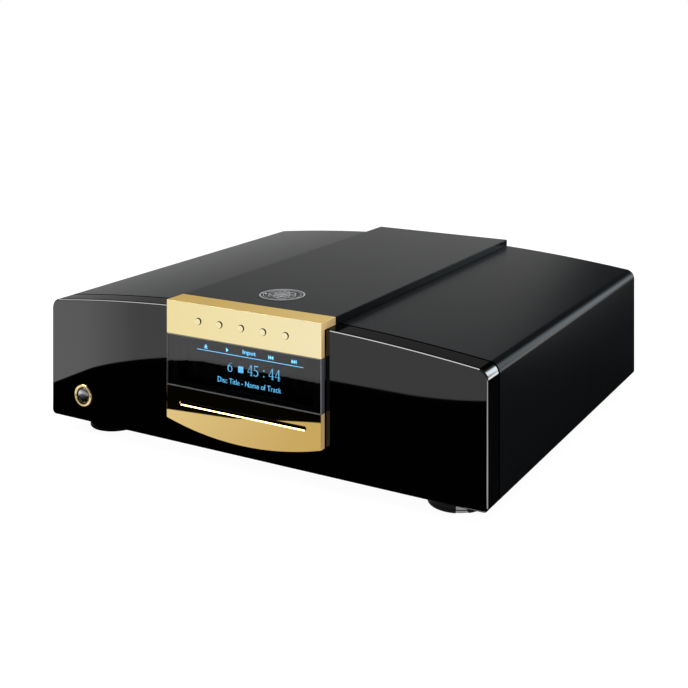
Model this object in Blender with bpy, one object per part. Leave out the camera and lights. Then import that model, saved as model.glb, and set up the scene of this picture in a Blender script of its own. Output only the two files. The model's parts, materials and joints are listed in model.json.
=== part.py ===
"""Slot-loading CD player, built as separate pieces in one assembly.

Lengths are in millimetres until place() turns them into metres. Shapes are drawn in the body's own
coordinates: x from the middle, y back from the face of the front panel, z up from the underside of the
body. The empty called datum carries those coordinates to the part's frame, whose origin lies on the table
under the middle of the whole player.
"""
import math

import bmesh
import bpy

MM = 0.001
GAP = 0.3                      # left between pieces that touch

# Body
BODY_WIDTH = 450.0
BODY_DEPTH = 398.0             # face of the front panel to the cover's rear edge
ARCH_CROWN = 123.5             # top of the arch above the body's underside
ARCH_RADIUS = 1800.0
SHOULDER_RADIUS = 9.0
BOTTOM_RADIUS = 4.5
PANEL_THICK = 21.5
PANEL_CHAMFER = 1.0
SHADOW_GAP = 1.0               # between the front panel and the cover
COVER_THICK = 3.0
COVER_LIP = 18.0               # how far the cover turns in underneath
SHEET = 2.0
INSIDE = COVER_THICK + GAP     # inset of what stands inside the cover
REAR_Y = BODY_DEPTH - 6.0      # inner face of the rear panel
REAR_OUT = REAR_Y + SHEET
FRAME_Y = PANEL_THICK + GAP    # front face of the front frame
FRAME_THICK = 2.5
FLOOR_TOP = INSIDE + SHEET
WALL_TOP = 24.0                # top of the chassis tray

# Spine and trim column
SPINE_WIDTH = 161.0
SPINE_TOP = 128.6
FLANGE_REAR = 16.6             # rear edge of the button bar's top flange
TRIM_WIDTH = 160.5
TRIM_THICK = 5.8
TRIM_BACK = -1.35              # rear face of the trim, ahead of the front panel
TRIM_FRONT = TRIM_BACK - TRIM_THICK
BAR_BOTTOM = 98.9
WINDOW_BOTTOM = 53.3
PLATE_CORNER = 23.9            # height of the slot plate's lower corners
PLATE_LOW = 13.0               # height of its lowest point
BADGE_Y = 58.0
BADGE_RADIUS = 22.0

# Controls
BUTTON_PITCH = 22.7
BUTTON_HEIGHT = 113.5
BUTTON_RADIUS = 3.1
BUTTON_HOLE = 3.5
BUTTON_NAMES = ("eject", "play", "input", "previous", "next")
POWER_AT = (-185.0, 23.75)
POWER_HOLE = 9.25

# Feet
FOOT_RADIUS = 24.6
FOOT_DROP = 14.1               # body underside above the table
FOOT_X = 180.9
FOOT_INSET = 41.5              # foot centre from the front face and from the rear edge

# Disc path and drive
SLOT_LENGTH = 132.0
SLOT_HEIGHT = 3.2
SLOT_Z = 39.3
SLOT_LIP = 1.1                 # bevel along the slot's lower edge, which leads the disc up into it
DRIVE_HALF = 76.0
DRIVE_FRONT = 27.0
DRIVE_REAR = 214.0
DRIVE_FLOOR = 14.0
DRIVE_TOP = 50.0
HUB_Y = 105.0
RAIL_X = 22.0
RAIL_Z = 24.0
RAIL_RADIUS = 1.5
SCREW_X = 33.0
SCREW_RADIUS = 2.0
SLED_FRONT = 124.0
SLED_LENGTH = 22.0
LENS_Y = 128.0
ROLLER_Y = 38.0
ROLLER_RADIUS = 4.0
ROLLER_Z = 33.9
GEAR_MODULE = 0.8
GEAR_TEETH = 30
PINION_TEETH = 12
GEAR_BACKLASH = 0.25
PINION_Z = 23.5
CLAMP_Y = 170.0                # clamp arm pivot
CLAMP_Z = 46.3
CAM_TRAVEL = 12.0
CLAMP_DROP = 4.5               # how far the clamp puck comes down
CAM_PIN_Y = 150.0

# Connectors: x and z of each
RCA_AT = {"rca_left": (185.0, 45.0), "rca_right": (145.0, 45.0), "coax_output": (85.0, 45.0)}
XLR_AT = {"xlr_left": (185.0, 85.0), "xlr_right": (145.0, 85.0)}
USB_AT = (50.0, 45.0)
INLET_X = -170.0
INLET_Z = 38.0
FUSE_Z = 56.0
ROCKER_Z = 73.0
ROCKER_TILT = 10.0             # degrees either side of level
COVER_SCREWS = ((-212.0, 100.0), (212.0, 100.0), (-212.0, 41.0), (212.0, 41.0))

# Boards and transformer
BOARD_Z = 16.0
BOARD_THICK = 1.6
TOROID_AT = (-140.0, 290.0)

# The pieces that stand furthest out: button caps at the front, phono sockets at the rear
BUTTON_PROUD = 1.0
SOCKET_END = 404.4
CENTRE_Y = (SOCKET_END + TRIM_FRONT - BUTTON_PROUD) / 2

FINISHES = {
    "gloss_black": ((0.006, 0.006, 0.007), 0.06, 0.0),
    "satin_black": ((0.020, 0.021, 0.022), 0.38, 0.3),
    "gold": ((0.83, 0.62, 0.27), 0.22, 1.0),
    "smoked_glass": ((0.004, 0.004, 0.005), 0.03, 0.0),
    "silver": ((0.55, 0.56, 0.57), 0.30, 1.0),
    "zinc_steel": ((0.50, 0.51, 0.50), 0.42, 1.0),
    "black_plastic": ((0.015, 0.015, 0.016), 0.45, 0.0),
    "white_plastic": ((0.70, 0.70, 0.66), 0.50, 0.0),
    "rubber": ((0.012, 0.012, 0.012), 0.85, 0.0),
    "felt": ((0.010, 0.010, 0.010), 0.95, 0.0),
    "circuit_board": ((0.010, 0.09, 0.035), 0.55, 0.0),
    "copper_winding": ((0.42, 0.20, 0.07), 0.35, 0.6),
}


# ---------------------------------------------------------------- outlines

def rectangle(left, low, right, high):
    return [(left, low), (right, low), (right, high), (left, high)]


def arc(x, y, radius, start, end, steps):
    """Points on a circle from one angle to another, in degrees, both ends included."""
    angles = [math.radians(start + (end - start) * i / steps) for i in range(steps + 1)]
    return [(x + radius * math.cos(a), y + radius * math.sin(a)) for a in angles]


def circle(x, y, radius, segments=20):
    return arc(x, y, radius, 0, 360, segments)[:-1]


def rounded(left, low, right, high, radius, steps=4):
    corners = ((right, low, -90), (right, high, 0), (left, high, 90), (left, low, 180))
    points = []
    for x, y, start in corners:
        centre_x = x - radius if x == right else x + radius
        centre_y = y - radius if y == high else y + radius
        points += arc(centre_x, centre_y, radius, start, start + 90, steps)
    return points


def stadium(x, y, length, height, steps=8):
    half = (length - height) / 2
    right = arc(x + half, y, height / 2, -90, 90, steps)
    return right + arc(x - half, y, height / 2, 90, 270, steps)


def body_path(inset=0.0, arch_steps=24):
    """The body's outline as an open path, from the lower left corner over the arch to the lower right."""
    side = BODY_WIDTH / 2
    shoulder_x = side - SHOULDER_RADIUS
    reach = ARCH_RADIUS - SHOULDER_RADIUS
    arch_z = ARCH_CROWN - ARCH_RADIUS
    shoulder_z = arch_z + math.sqrt(reach ** 2 - shoulder_x ** 2)
    lean = math.degrees(math.asin(shoulder_x / reach))
    small = BOTTOM_RADIUS - inset
    corner_x = side - BOTTOM_RADIUS
    round_r = SHOULDER_RADIUS - inset
    path = arc(-corner_x, BOTTOM_RADIUS, small, 270, 180, 3)
    path += arc(-shoulder_x, shoulder_z, round_r, 180, 90 + lean, 6)
    path += arc(0, arch_z, ARCH_RADIUS - inset, 90 + lean, 90 - lean, arch_steps)[1:-1]
    path += arc(shoulder_x, shoulder_z, round_r, 90 - lean, 0, 6)
    path += arc(corner_x, BOTTOM_RADIUS, small, 0, -90, 3)
    return path


def cover_section():
    """The cover's section: the body's outline, one sheet thick, open underneath."""
    lip = BODY_WIDTH / 2 - COVER_LIP
    outer = [(-lip, 0.0)] + body_path() + [(lip, 0.0)]
    inner = [(lip, COVER_THICK)] + body_path(COVER_THICK)[::-1] + [(-lip, COVER_THICK)]
    return outer + inner


def spine_section(width):
    """Flat on top, and hollowed underneath to sit on the arch."""
    radius = ARCH_RADIUS + GAP
    lean = math.degrees(math.asin(width / 2 / radius))
    under = arc(0, ARCH_CROWN - ARCH_RADIUS, radius, 90 + lean, 90 - lean, 12)
    return under + [(width / 2, SPINE_TOP), (-width / 2, SPINE_TOP)]


def slot_plate_outline():
    """Square at the top, with a lower edge that sags in one arc."""
    half, sag = TRIM_WIDTH / 2, PLATE_CORNER - PLATE_LOW
    radius = (half ** 2 + sag ** 2) / (2 * sag)
    lean = math.degrees(math.asin(half / radius))
    low = arc(0, PLATE_LOW + radius, radius, 270 - lean, 270 + lean, 24)
    top = WINDOW_BOTTOM - GAP / 2
    return low + [(half, top), (-half, top)]


def strip_outline(path, thick):
    """A ribbon's edge view: a path and the same path moved sideways by its thickness."""
    side = []
    for i, (a, b) in enumerate(path):
        before, after = path[max(i - 1, 0)], path[min(i + 1, len(path) - 1)]
        run, rise = after[0] - before[0], after[1] - before[1]
        length = math.hypot(run, rise)
        side.append((a - thick * rise / length, b + thick * run / length))
    return path + side[::-1]


def gear_outline(centre, teeth, turn, steps=2):
    """Stub involute teeth; a tooth points along turn, in radians."""
    pressure = math.radians(25)
    pitch = GEAR_MODULE * teeth / 2
    base = pitch * math.cos(pressure)
    tip, root = pitch + 0.8 * GEAR_MODULE, pitch - 1.05 * GEAR_MODULE
    half = math.pi / (2 * teeth) - GEAR_BACKLASH / (2 * pitch)

    def half_angle(radius):
        roll = math.acos(min(1.0, base / radius))
        return half + (math.tan(pressure) - pressure) - (math.tan(roll) - roll)

    start = max(base, root)
    flank = [start + (tip - start) * i / steps for i in range(steps + 1)]
    side = [(root, half_angle(start))] if root < base else []
    side += [(radius, half_angle(radius)) for radius in flank]
    points = []
    for tooth in range(teeth):
        middle = turn + 2 * math.pi * tooth / teeth
        spots = [(r, middle - a) for r, a in side] + [(r, middle + a) for r, a in side[::-1]]
        points += [(centre[0] + r * math.cos(a), centre[1] + r * math.sin(a)) for r, a in spots]
    return points


# ---------------------------------------------------------------- solids

PLANES = {"x": (1, 2, 0), "y": (0, 2, 1), "z": (0, 1, 2)}


def point(axis, across, up, along):
    spot = [0.0, 0.0, 0.0]
    for index, value in zip(PLANES[axis], (across, up, along)):
        spot[index] = value
    return spot


def ring_of(mesh, axis, outline, along):
    ring = [mesh.verts.new(point(axis, a, b, along)) for a, b in outline]
    for i, vertex in enumerate(ring):
        mesh.edges.new((ring[i - 1], vertex))
    return ring


def wall(mesh, low, high):
    for i in range(len(low)):
        mesh.faces.new((low[i - 1], low[i], high[i], high[i - 1]))


def cap(mesh, rings):
    if len(rings) == 1:
        mesh.faces.new(rings[0])
        return
    edges = [mesh.edges.get((ring[i - 1], ring[i])) for ring in rings for i in range(len(ring))]
    bmesh.ops.triangle_fill(mesh, use_beauty=True, edges=edges)


def plate(axis, sections, holes=()):
    """A closed solid through matching outlines, given as (outline, place along the axis).

    Holes are outlines that run straight through.
    """
    mesh = bmesh.new()
    rings = [ring_of(mesh, axis, outline, along) for outline, along in sections]
    for low, high in zip(rings, rings[1:]):
        wall(mesh, low, high)
    start, end = [rings[0]], [rings[-1]]
    for hole in holes:
        start.append(ring_of(mesh, axis, hole, sections[0][1]))
        end.append(ring_of(mesh, axis, hole, sections[-1][1]))
        wall(mesh, start[-1], end[-1])
    cap(mesh, start)
    cap(mesh, end)
    bmesh.ops.recalc_face_normals(mesh, faces=mesh.faces)
    return mesh


def slab(axis, outline, low, high, holes=()):
    return plate(axis, [(outline, low), (outline, high)], holes)


def box(x, y, z):
    """A block from three (low, high) pairs."""
    return slab("z", rectangle(x[0], y[0], x[1], y[1]), z[0], z[1])


def turned(axis, centre, profile, segments=24, hollow=False):
    """A solid of revolution through (radius, place along the axis) points.

    A hollow one is a closed ring; any other has a flat at each end.
    """
    mesh = bmesh.new()
    rings = [ring_of(mesh, axis, circle(*centre, radius, segments), along) for radius, along in profile]
    for low, high in zip(rings, rings[1:]):
        wall(mesh, low, high)
    if hollow:
        wall(mesh, rings[-1], rings[0])
    else:
        cap(mesh, [rings[0]])
        cap(mesh, [rings[-1]])
    bmesh.ops.recalc_face_normals(mesh, faces=mesh.faces)
    return mesh


def rod(axis, centre, radius, low, high, segments=16):
    return turned(axis, centre, [(radius, low), (radius, high)], segments)


def group(*meshes):
    """Several separate solids in one mesh, for use as one tool."""
    joined = bmesh.new()
    for mesh in meshes:
        data = bpy.data.meshes.new("group")
        mesh.to_mesh(data)
        joined.from_mesh(data)
        bpy.data.meshes.remove(data)
    return joined


# ---------------------------------------------------------------- objects

def finish(name):
    """The named Principled BSDF material, made once."""
    found = bpy.data.materials.get(name)
    if found:
        return found
    colour, roughness, metallic = FINISHES[name]
    material = bpy.data.materials.new(name)
    material.use_nodes = True
    shader = material.node_tree.nodes["Principled BSDF"]
    shader.inputs["Base Color"].default_value = (*colour, 1.0)
    shader.inputs["Roughness"].default_value = roughness
    shader.inputs["Metallic"].default_value = metallic
    return material


def place(name, shape, origin):
    """An object for a shape, with its origin at a given point of the body's coordinates."""
    data = bpy.data.meshes.new(name)
    for vertex in shape.verts:
        vertex.co = [(vertex.co[i] - origin[i]) * MM for i in range(3)]
    shape.to_mesh(data)
    shape.free()
    obj = bpy.data.objects.new(name, data)
    bpy.context.collection.objects.link(obj)
    obj.parent = bpy.data.objects["datum"]
    obj.location = [value * MM for value in origin]
    return obj


def join(shape):
    return "UNION", shape


def cut(shape):
    return "DIFFERENCE", shape


def combine(obj, operation, shape, origin):
    tool = place(f"{obj.name}_tool", shape, origin)
    tool.hide_render = True
    tool.display_type = "WIRE"
    modifier = obj.modifiers.new(operation.lower(), "BOOLEAN")
    modifier.operation = operation
    modifier.solver = "EXACT"
    modifier.object = tool


def piece(name, material, shape, *steps, origin=(0.0, 0.0, 0.0)):
    """One named part: a shape, then each join or cut in turn."""
    obj = place(name, shape, origin)
    obj.data.materials.append(finish(material))
    obj.data.shade_smooth()
    obj.data.set_sharp_from_angle(angle=math.radians(30))
    for operation, tool_shape in steps:
        combine(obj, operation, tool_shape, origin)


# ---------------------------------------------------------------- enclosure

SLOT_OPENING = rectangle(-68.0, 34.5, 68.0, 43.5)
DISPLAY_OPENING = rectangle(-71.0, 57.5, 71.0, 96.0)
BUTTON_OPENING = rectangle(-56.0, 107.5, 56.0, 119.5)
SPACER_END = 12.2              # where the front frame's spacers meet the two front boards


def front_panel():
    sections = [(body_path(PANEL_CHAMFER), 0.0), (body_path(), PANEL_CHAMFER), (body_path(), PANEL_THICK)]
    holes = [SLOT_OPENING, DISPLAY_OPENING, BUTTON_OPENING, circle(*POWER_AT, POWER_HOLE, 32)]
    piece("front_panel", "gloss_black", plate("y", sections, holes))


def front_frame():
    """The bulkhead behind the front panel, with spacers for the two boards that sit in the panel."""
    holes = [SLOT_OPENING, rectangle(-40.0, 60.0, 40.0, 94.0), circle(*POWER_AT, 7.0)]
    sheet = slab("y", body_path(INSIDE), FRAME_Y, FRAME_Y + FRAME_THICK, holes)
    spots = [(-58.0, 77.0), (58.0, 77.0), (-40.0, BUTTON_HEIGHT), (40.0, BUTTON_HEIGHT)]
    spacers = [rod("y", spot, 2.5, SPACER_END, FRAME_Y + 1.0, 12) for spot in spots]
    piece("front_frame", "zinc_steel", sheet, join(group(*spacers)))


def main_cover():
    """The arched sheet, with a boss inside for each of its screws."""
    bosses, holes = [], []
    inner = BODY_WIDTH / 2 - COVER_THICK / 2
    for x, z in COVER_SCREWS:
        sides = sorted((x - math.copysign(6.0, x), math.copysign(inner, x)))
        bosses.append(box(sides, (382.0, REAR_Y - GAP), (z - 5.0, z + 5.0)))
        holes.append(rod("y", (x, z), 1.8, 384.0, REAR_Y + 1.0, 12))
    sheet = slab("y", cover_section(), PANEL_THICK + SHADOW_GAP, BODY_DEPTH)
    piece("main_cover", "satin_black", sheet, join(group(*bosses)), cut(group(*holes)))


def spine_cover():
    sheet = slab("y", spine_section(SPINE_WIDTH), FLANGE_REAR + GAP, BODY_DEPTH)
    recess = rod("z", (0.0, BADGE_Y), BADGE_RADIUS + GAP, SPINE_TOP - 1.3, SPINE_TOP + 1.0, 40)
    piece("spine_cover", "satin_black", sheet, cut(recess))


def badge():
    low, rim, dish = SPINE_TOP - 1.0, SPINE_TOP + 0.2, SPINE_TOP - 0.3
    profile = [(BADGE_RADIUS, low), (BADGE_RADIUS, rim), (20.0, rim), (19.6, dish), (12.4, dish), (12.0, rim)]
    piece("badge", "silver", turned("z", (0.0, BADGE_Y), profile, 40))


def bottom_chassis():
    """A tray with raised posts under the drive and the boards."""
    half = BODY_WIDTH / 2 - INSIDE - 1.0
    inner = half - SHEET
    front, rear = FRAME_Y + FRAME_THICK + GAP, REAR_Y - GAP
    tray = box((-half, half), (front, rear), (INSIDE, WALL_TOP))
    hollow = box((-inner, inner), (front - 1.0, rear - SHEET), (FLOOR_TOP, WALL_TOP + 1.0))
    drive = [(-66.0, 45.0), (66.0, 45.0), (-66.0, 195.0), (66.0, 195.0)]
    boards = [(-198.0, 128.0), (-97.0, 128.0), (-198.0, 212.0), (-97.0, 212.0)]
    boards += [(20.0, 228.0), (198.0, 228.0), (20.0, 378.0), (198.0, 378.0)]
    posts = [rod("z", spot, 4.0, FLOOR_TOP - 1.0, DRIVE_FLOOR - GAP, 12) for spot in drive]
    posts += [rod("z", spot, 3.0, FLOOR_TOP - 1.0, BOARD_Z - GAP, 12) for spot in boards]
    piece("bottom_chassis", "zinc_steel", tray, cut(hollow), join(group(*posts)))


def rear_panel():
    holes = [circle(x, z, 4.5, 16) for x, z in RCA_AT.values()]
    holes += [circle(x, z, 12.3, 24) for x, z in XLR_AT.values()]
    holes += [circle(x, z, 1.8, 10) for x, z in COVER_SCREWS]
    holes.append(rectangle(USB_AT[0] - 6.4, USB_AT[1] - 5.7, USB_AT[0] + 6.4, USB_AT[1] + 5.7))
    holes.append(rectangle(INLET_X - 13.8, INLET_Z - 12.8, INLET_X + 13.8, ROCKER_Z + 11.8))
    piece("rear_panel", "satin_black", slab("y", body_path(INSIDE), REAR_Y, REAR_OUT, holes))


def cover_screws():
    head = REAR_OUT + GAP
    for number, spot in enumerate(COVER_SCREWS, 1):
        profile = [(1.5, 385.0), (1.5, head), (2.9, head), (2.9, head + 0.9), (1.9, head + 1.8)]
        socket = rod("y", spot, 1.1, head + 0.6, head + 3.0, 6)
        piece(f"cover_screw_{number}", "zinc_steel", turned("y", spot, profile, 12), cut(socket))


def feet():
    """Four turned feet, from the table up to the chassis floor."""
    places = {"front": FOOT_INSET, "rear": BODY_DEPTH - FOOT_INSET}
    edge = 0.6
    for row, y in places.items():
        for side, x in (("left", -FOOT_X), ("right", FOOT_X)):
            profile = [(FOOT_RADIUS - edge, -FOOT_DROP), (FOOT_RADIUS, edge - FOOT_DROP),
                       (FOOT_RADIUS, -GAP - edge), (FOOT_RADIUS - edge, -GAP),
                       (18.0, -GAP), (18.0, INSIDE - GAP)]
            piece(f"foot_{row}_{side}", "gloss_black", turned("z", (x, y), profile, 32))


# ---------------------------------------------------------------- trim column

def trim_carrier():
    """A thin plate that holds the trim off the front panel."""
    half = TRIM_WIDTH / 2 - 2.0
    outline = rectangle(-half, PLATE_CORNER + 3.0, half, ARCH_CROWN - 3.2)
    holes = [rectangle(-67.8, 34.7, 67.8, 43.3), DISPLAY_OPENING, rectangle(-56.0, 108.0, 56.0, 118.5)]
    piece("trim_carrier", "black_plastic", slab("y", outline, TRIM_BACK + GAP, -GAP, holes))


def button_bar():
    """The gold bar, and the flange that runs back from its top over the front panel."""
    half = TRIM_WIDTH / 2
    outline = rectangle(-half, BAR_BOTTOM + GAP / 2, half, SPINE_TOP)
    holes = [circle(x, BUTTON_HEIGHT, BUTTON_HOLE) for x in button_places()]
    bar = slab("y", outline, TRIM_FRONT, TRIM_BACK, holes)
    flange = slab("y", spine_section(TRIM_WIDTH), TRIM_BACK - 1.0, FLANGE_REAR)
    piece("button_bar", "gold", bar, join(flange))


def display_window():
    half = TRIM_WIDTH / 2
    sides = (WINDOW_BOTTOM + GAP / 2, BAR_BOTTOM - GAP / 2)
    glass = box((-half, half), (TRIM_FRONT, TRIM_BACK), sides)
    piece("display_window", "smoked_glass", glass)


def slot_plate():
    """The lower gold plate. Its slot widens towards the front, mostly downwards."""
    slot = stadium(0.0, SLOT_Z, SLOT_LENGTH - SLOT_LIP, SLOT_HEIGHT)
    mouth = stadium(0.0, SLOT_Z - 0.4 * SLOT_LIP, SLOT_LENGTH, SLOT_HEIGHT + 1.2 * SLOT_LIP)
    funnel = plate("y", [(mouth, TRIM_FRONT - 1.0), (mouth, TRIM_FRONT), (slot, TRIM_FRONT + SLOT_LIP)])
    face = slab("y", slot_plate_outline(), TRIM_FRONT, TRIM_BACK, [slot])
    piece("slot_plate", "gold", face, cut(funnel))


def slot_felt():
    """The felt frame that lines the way in behind the slot."""
    hole = rectangle(-64.0, SLOT_Z - SLOT_HEIGHT / 2, 64.0, SLOT_Z + SLOT_HEIGHT / 2)
    piece("slot_felt", "felt", slab("y", rectangle(-67.2, 35.2, 67.2, 42.8), TRIM_BACK + GAP, 0.8, [hole]))


def button_places():
    return [(index - 2) * BUTTON_PITCH for index in range(len(BUTTON_NAMES))]


def buttons():
    """A cap in the bar's hole, a collar behind the bar, and a stem to the switch."""
    front, collar = TRIM_FRONT - BUTTON_PROUD, TRIM_BACK + GAP
    profile = [(BUTTON_RADIUS - 0.5, front), (BUTTON_RADIUS, front + 0.4), (BUTTON_RADIUS, collar)]
    profile += [(4.4, collar), (4.4, 0.2), (1.5, 0.2), (1.5, 8.0)]
    for name, x in zip(BUTTON_NAMES, button_places()):
        shape = turned("y", (x, BUTTON_HEIGHT), profile, 20)
        piece(f"button_{name}", "gold", shape, origin=(x, front, BUTTON_HEIGHT))


def button_board():
    low, high = BUTTON_HEIGHT - 5.3, BUTTON_HEIGHT + 5.3
    front = SPACER_END - GAP - BOARD_THICK
    board = box((-52.0, 52.0), (front, front + BOARD_THICK), (low, high))
    switches = [box((x - 3.0, x + 3.0), (9.1, front + 0.5), (BUTTON_HEIGHT - 3.0, BUTTON_HEIGHT + 3.0))
                for x in button_places()]
    piece("button_board", "circuit_board", board, join(group(*switches)))


def display_module():
    rear = SPACER_END - GAP
    panel = box((-69.0, 69.0), (4.9, rear - 1.0), (59.5, 94.5))
    board = box((-70.0, 70.0), (rear - BOARD_THICK, rear), (58.5, 95.5))
    piece("display_module", "black_plastic", panel, join(board))


def power_control():
    """The bezel in the front panel, the button that slides in it, and the switch behind."""
    ring = [(7.75, -1.2), (8.2, -1.5), (9.9, -1.5), (10.3, -1.1), (10.3, -GAP), (8.95, -GAP),
            (8.95, 9.0), (7.75, 9.0)]
    piece("power_bezel", "gold", turned("y", POWER_AT, ring, 28, hollow=True))
    cap_points = [(2.0, -2.0), (4.4, -1.7), (6.1, -1.0), (6.75, -0.1), (6.75, 8.0), (3.0, 8.0), (3.0, 22.6)]
    origin = (POWER_AT[0], -2.0, POWER_AT[1])
    piece("power_button", "gloss_black", turned("y", POWER_AT, cap_points, 28), origin=origin)
    x, z = POWER_AT
    piece("power_switch", "black_plastic", box((x - 8.0, x + 8.0), (24.9, 46.0), (z - 8.0, z + 8.0)))


# ---------------------------------------------------------------- rear connectors

def sockets():
    """Phono sockets: a flange and barrel outside, a threaded stub and tag inside."""
    seat = REAR_OUT + GAP
    profile = [(1.2, 378.0), (1.2, 386.0), (4.1, 386.0), (4.1, seat), (6.5, seat), (6.5, seat + 1.5),
               (4.15, seat + 1.5), (4.15, SOCKET_END), (1.7, SOCKET_END), (1.7, seat + 2.2)]
    for name, spot in RCA_AT.items():
        piece(name, "gold", turned("y", spot, profile, 16))


def xlr_connectors():
    """Male chassis connectors: flange, recessed shell and three pins."""
    seat = REAR_OUT + GAP
    for name, (x, z) in XLR_AT.items():
        flange = slab("y", rounded(x - 13.0, z - 15.5, x + 13.0, z + 15.5, 3.0), seat, seat + 1.8)
        body = rod("y", (x, z), 11.9, 372.0, seat + 1.0, 24)
        well = rod("y", (x, z), 9.0, 384.0, seat + 3.0, 24)
        spots = [(x - 3.6, z + 2.0), (x + 3.6, z + 2.0), (x, z - 4.2)]
        pins = [rod("y", spot, 1.2, 383.0, REAR_OUT, 8) for spot in spots]
        piece(name, "zinc_steel", flange, join(body), cut(well), join(group(*pins)))


def usb_input():
    x, z = USB_AT
    seat = REAR_OUT + GAP
    shell = box((x - 6.1, x + 6.1), (378.0, seat + 1.2), (z - 5.4, z + 5.4))
    well = box((x - 4.3, x + 4.3), (384.0, seat + 2.0), (z - 3.9, z + 3.9))
    tongue = box((x - 2.8, x + 2.8), (383.0, seat), (z - 1.6, z + 1.6))
    piece("usb_input", "zinc_steel", shell, cut(well), join(tongue))


def mains_inlet():
    """One module with the inlet, the fuse drawer's pocket and the rocker's pocket."""
    seat = REAR_OUT + GAP
    low, high = INLET_Z - 12.5, ROCKER_Z + 11.5
    x = INLET_X
    flange = slab("y", rounded(x - 16.0, low - 2.5, x + 16.0, high + 2.5, 2.0), seat, seat + 2.0)
    body = box((x - 13.5, x + 13.5), (362.0, seat + 1.0), (low, high))
    keyed = [(x - 12.0, INLET_Z - 8.0), (x + 12.0, INLET_Z - 8.0), (x + 12.0, INLET_Z + 3.0),
             (x + 7.0, INLET_Z + 8.0), (x - 7.0, INLET_Z + 8.0), (x - 12.0, INLET_Z + 3.0)]
    recess = slab("y", keyed, 379.0, seat + 3.0)
    blades = [box((spot - 1.0, spot + 1.0), (378.0, REAR_OUT - 1.0), (z - 2.0, z + 2.0))
              for spot, z in ((x - 7.0, INLET_Z - 2.0), (x, INLET_Z + 2.0), (x + 7.0, INLET_Z - 2.0))]
    fuse = box((x - 11.3, x + 11.3), (371.0, seat + 3.0), (FUSE_Z - 4.3, FUSE_Z + 4.3))
    rocker = box((x - 8.3, x + 8.3), (383.0, seat + 3.0), (ROCKER_Z - 10.0, ROCKER_Z + 10.0))
    piece("mains_inlet", "black_plastic", flange, join(body), cut(group(recess, fuse, rocker)),
          join(group(*blades)))


def fuse_drawer():
    x = INLET_X
    drawer = box((x - 11.0, x + 11.0), (371.5, 398.4), (FUSE_Z - 4.0, FUSE_Z + 4.0))
    bay = box((x - 9.0, x + 9.0), (374.0, 393.0), (FUSE_Z - 2.6, FUSE_Z + 5.0))
    piece("fuse_drawer", "black_plastic", drawer, cut(bay), origin=(x, 371.5, FUSE_Z))


def mains_rocker():
    """A shallow V outside and a half round inside, resting tilted to its off side."""
    pivot = 394.0
    face = [(4.6, 8.0), (2.4, 0.0), (4.6, -8.0)]
    back = arc(0.0, 0.0, 8.6, -68.0, -292.0, 14)
    across, up = math.cos(math.radians(ROCKER_TILT)), -math.sin(math.radians(ROCKER_TILT))
    outline = [(pivot + a * across - b * up, ROCKER_Z + a * up + b * across) for a, b in face + back]
    shape = slab("x", outline, INLET_X - 7.9, INLET_X + 7.9)
    piece("mains_rocker", "black_plastic", shape, origin=(INLET_X, pivot, ROCKER_Z))


# ---------------------------------------------------------------- disc drive

def pinion_centre():
    """The pinion stands behind and below the roller, at the gears' centre distance."""
    distance = GEAR_MODULE * (GEAR_TEETH + PINION_TEETH) / 2 + 0.1
    drop = ROLLER_Z - PINION_Z
    return ROLLER_Y + math.sqrt(distance ** 2 - drop ** 2), PINION_Z


def drive_frame():
    """A tray open at the front, with bearings for the rods and the lead screw."""
    half = DRIVE_HALF
    tray = box((-half, half), (DRIVE_FRONT, DRIVE_REAR), (DRIVE_FLOOR, DRIVE_TOP))
    hollow = box((SHEET - half, half - SHEET), (DRIVE_FRONT - 1.0, DRIVE_REAR - SHEET),
                 (DRIVE_FLOOR + SHEET, DRIVE_TOP + 1.0))
    low, high = DRIVE_FLOOR + 1.0, 30.0
    supports = [box((-27.0, -17.0), (113.0, 116.0), (low, high)),
                box((17.0, 39.0), (113.0, 116.0), (low, high)),
                box((-39.0, 39.0), (184.0, 187.0), (low, high))]
    holes = [rod("y", (x, RAIL_Z), RAIL_RADIUS + GAP, 110.0, 190.0, 12) for x in (-RAIL_X, RAIL_X)]
    holes.append(rod("y", (SCREW_X, RAIL_Z), SCREW_RADIUS + GAP, 110.0, 190.0, 12))
    holes += [rod("x", (ROLLER_Y, ROLLER_Z), 1.9, x - 3.0, x + 3.0, 12) for x in (-half + 1.0, half - 1.0)]
    holes.append(rod("x", pinion_centre(), 1.9, half - 4.0, half + 2.0, 12))
    piece("drive_frame", "zinc_steel", tray, cut(hollow), join(group(*supports)), cut(group(*holes)))


def drive_top_plate():
    """The lid, with two lugs that carry the clamp arm's pivot."""
    low, high = DRIVE_TOP + GAP, DRIVE_TOP + GAP + 1.5
    half = DRIVE_HALF
    lid = slab("z", rectangle(-half, DRIVE_FRONT, half, DRIVE_REAR), low, high, [circle(0.0, HUB_Y, 12.0)])
    lugs = [box((x - 1.5, x + 1.5), (CLAMP_Y - 4.0, CLAMP_Y + 4.0), (CLAMP_Z - 4.0, low + 0.5))
            for x in (-33.5, 33.5)]
    bores = rod("x", (CLAMP_Y, CLAMP_Z), 1.9, -40.0, 40.0, 12)
    piece("drive_top_plate", "zinc_steel", lid, join(group(*lugs)), cut(bores))


def spindle():
    """The motor can on the drive floor, and the hub that carries the disc."""
    centre = (0.0, HUB_Y)
    motor = [(13.0, DRIVE_FLOOR + SHEET + GAP), (13.0, 26.2), (4.0, 26.8), (4.0, 28.0)]
    piece("spindle_motor", "silver", turned("z", centre, motor))
    hub = [(5.0, 28.3), (5.0, 34.5), (14.5, 34.5), (14.5, 36.5), (7.4, 36.5), (7.2, 37.4), (6.4, 38.0)]
    piece("spindle_hub", "black_plastic", turned("z", centre, hub), origin=(0.0, HUB_Y, 28.3))


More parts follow.
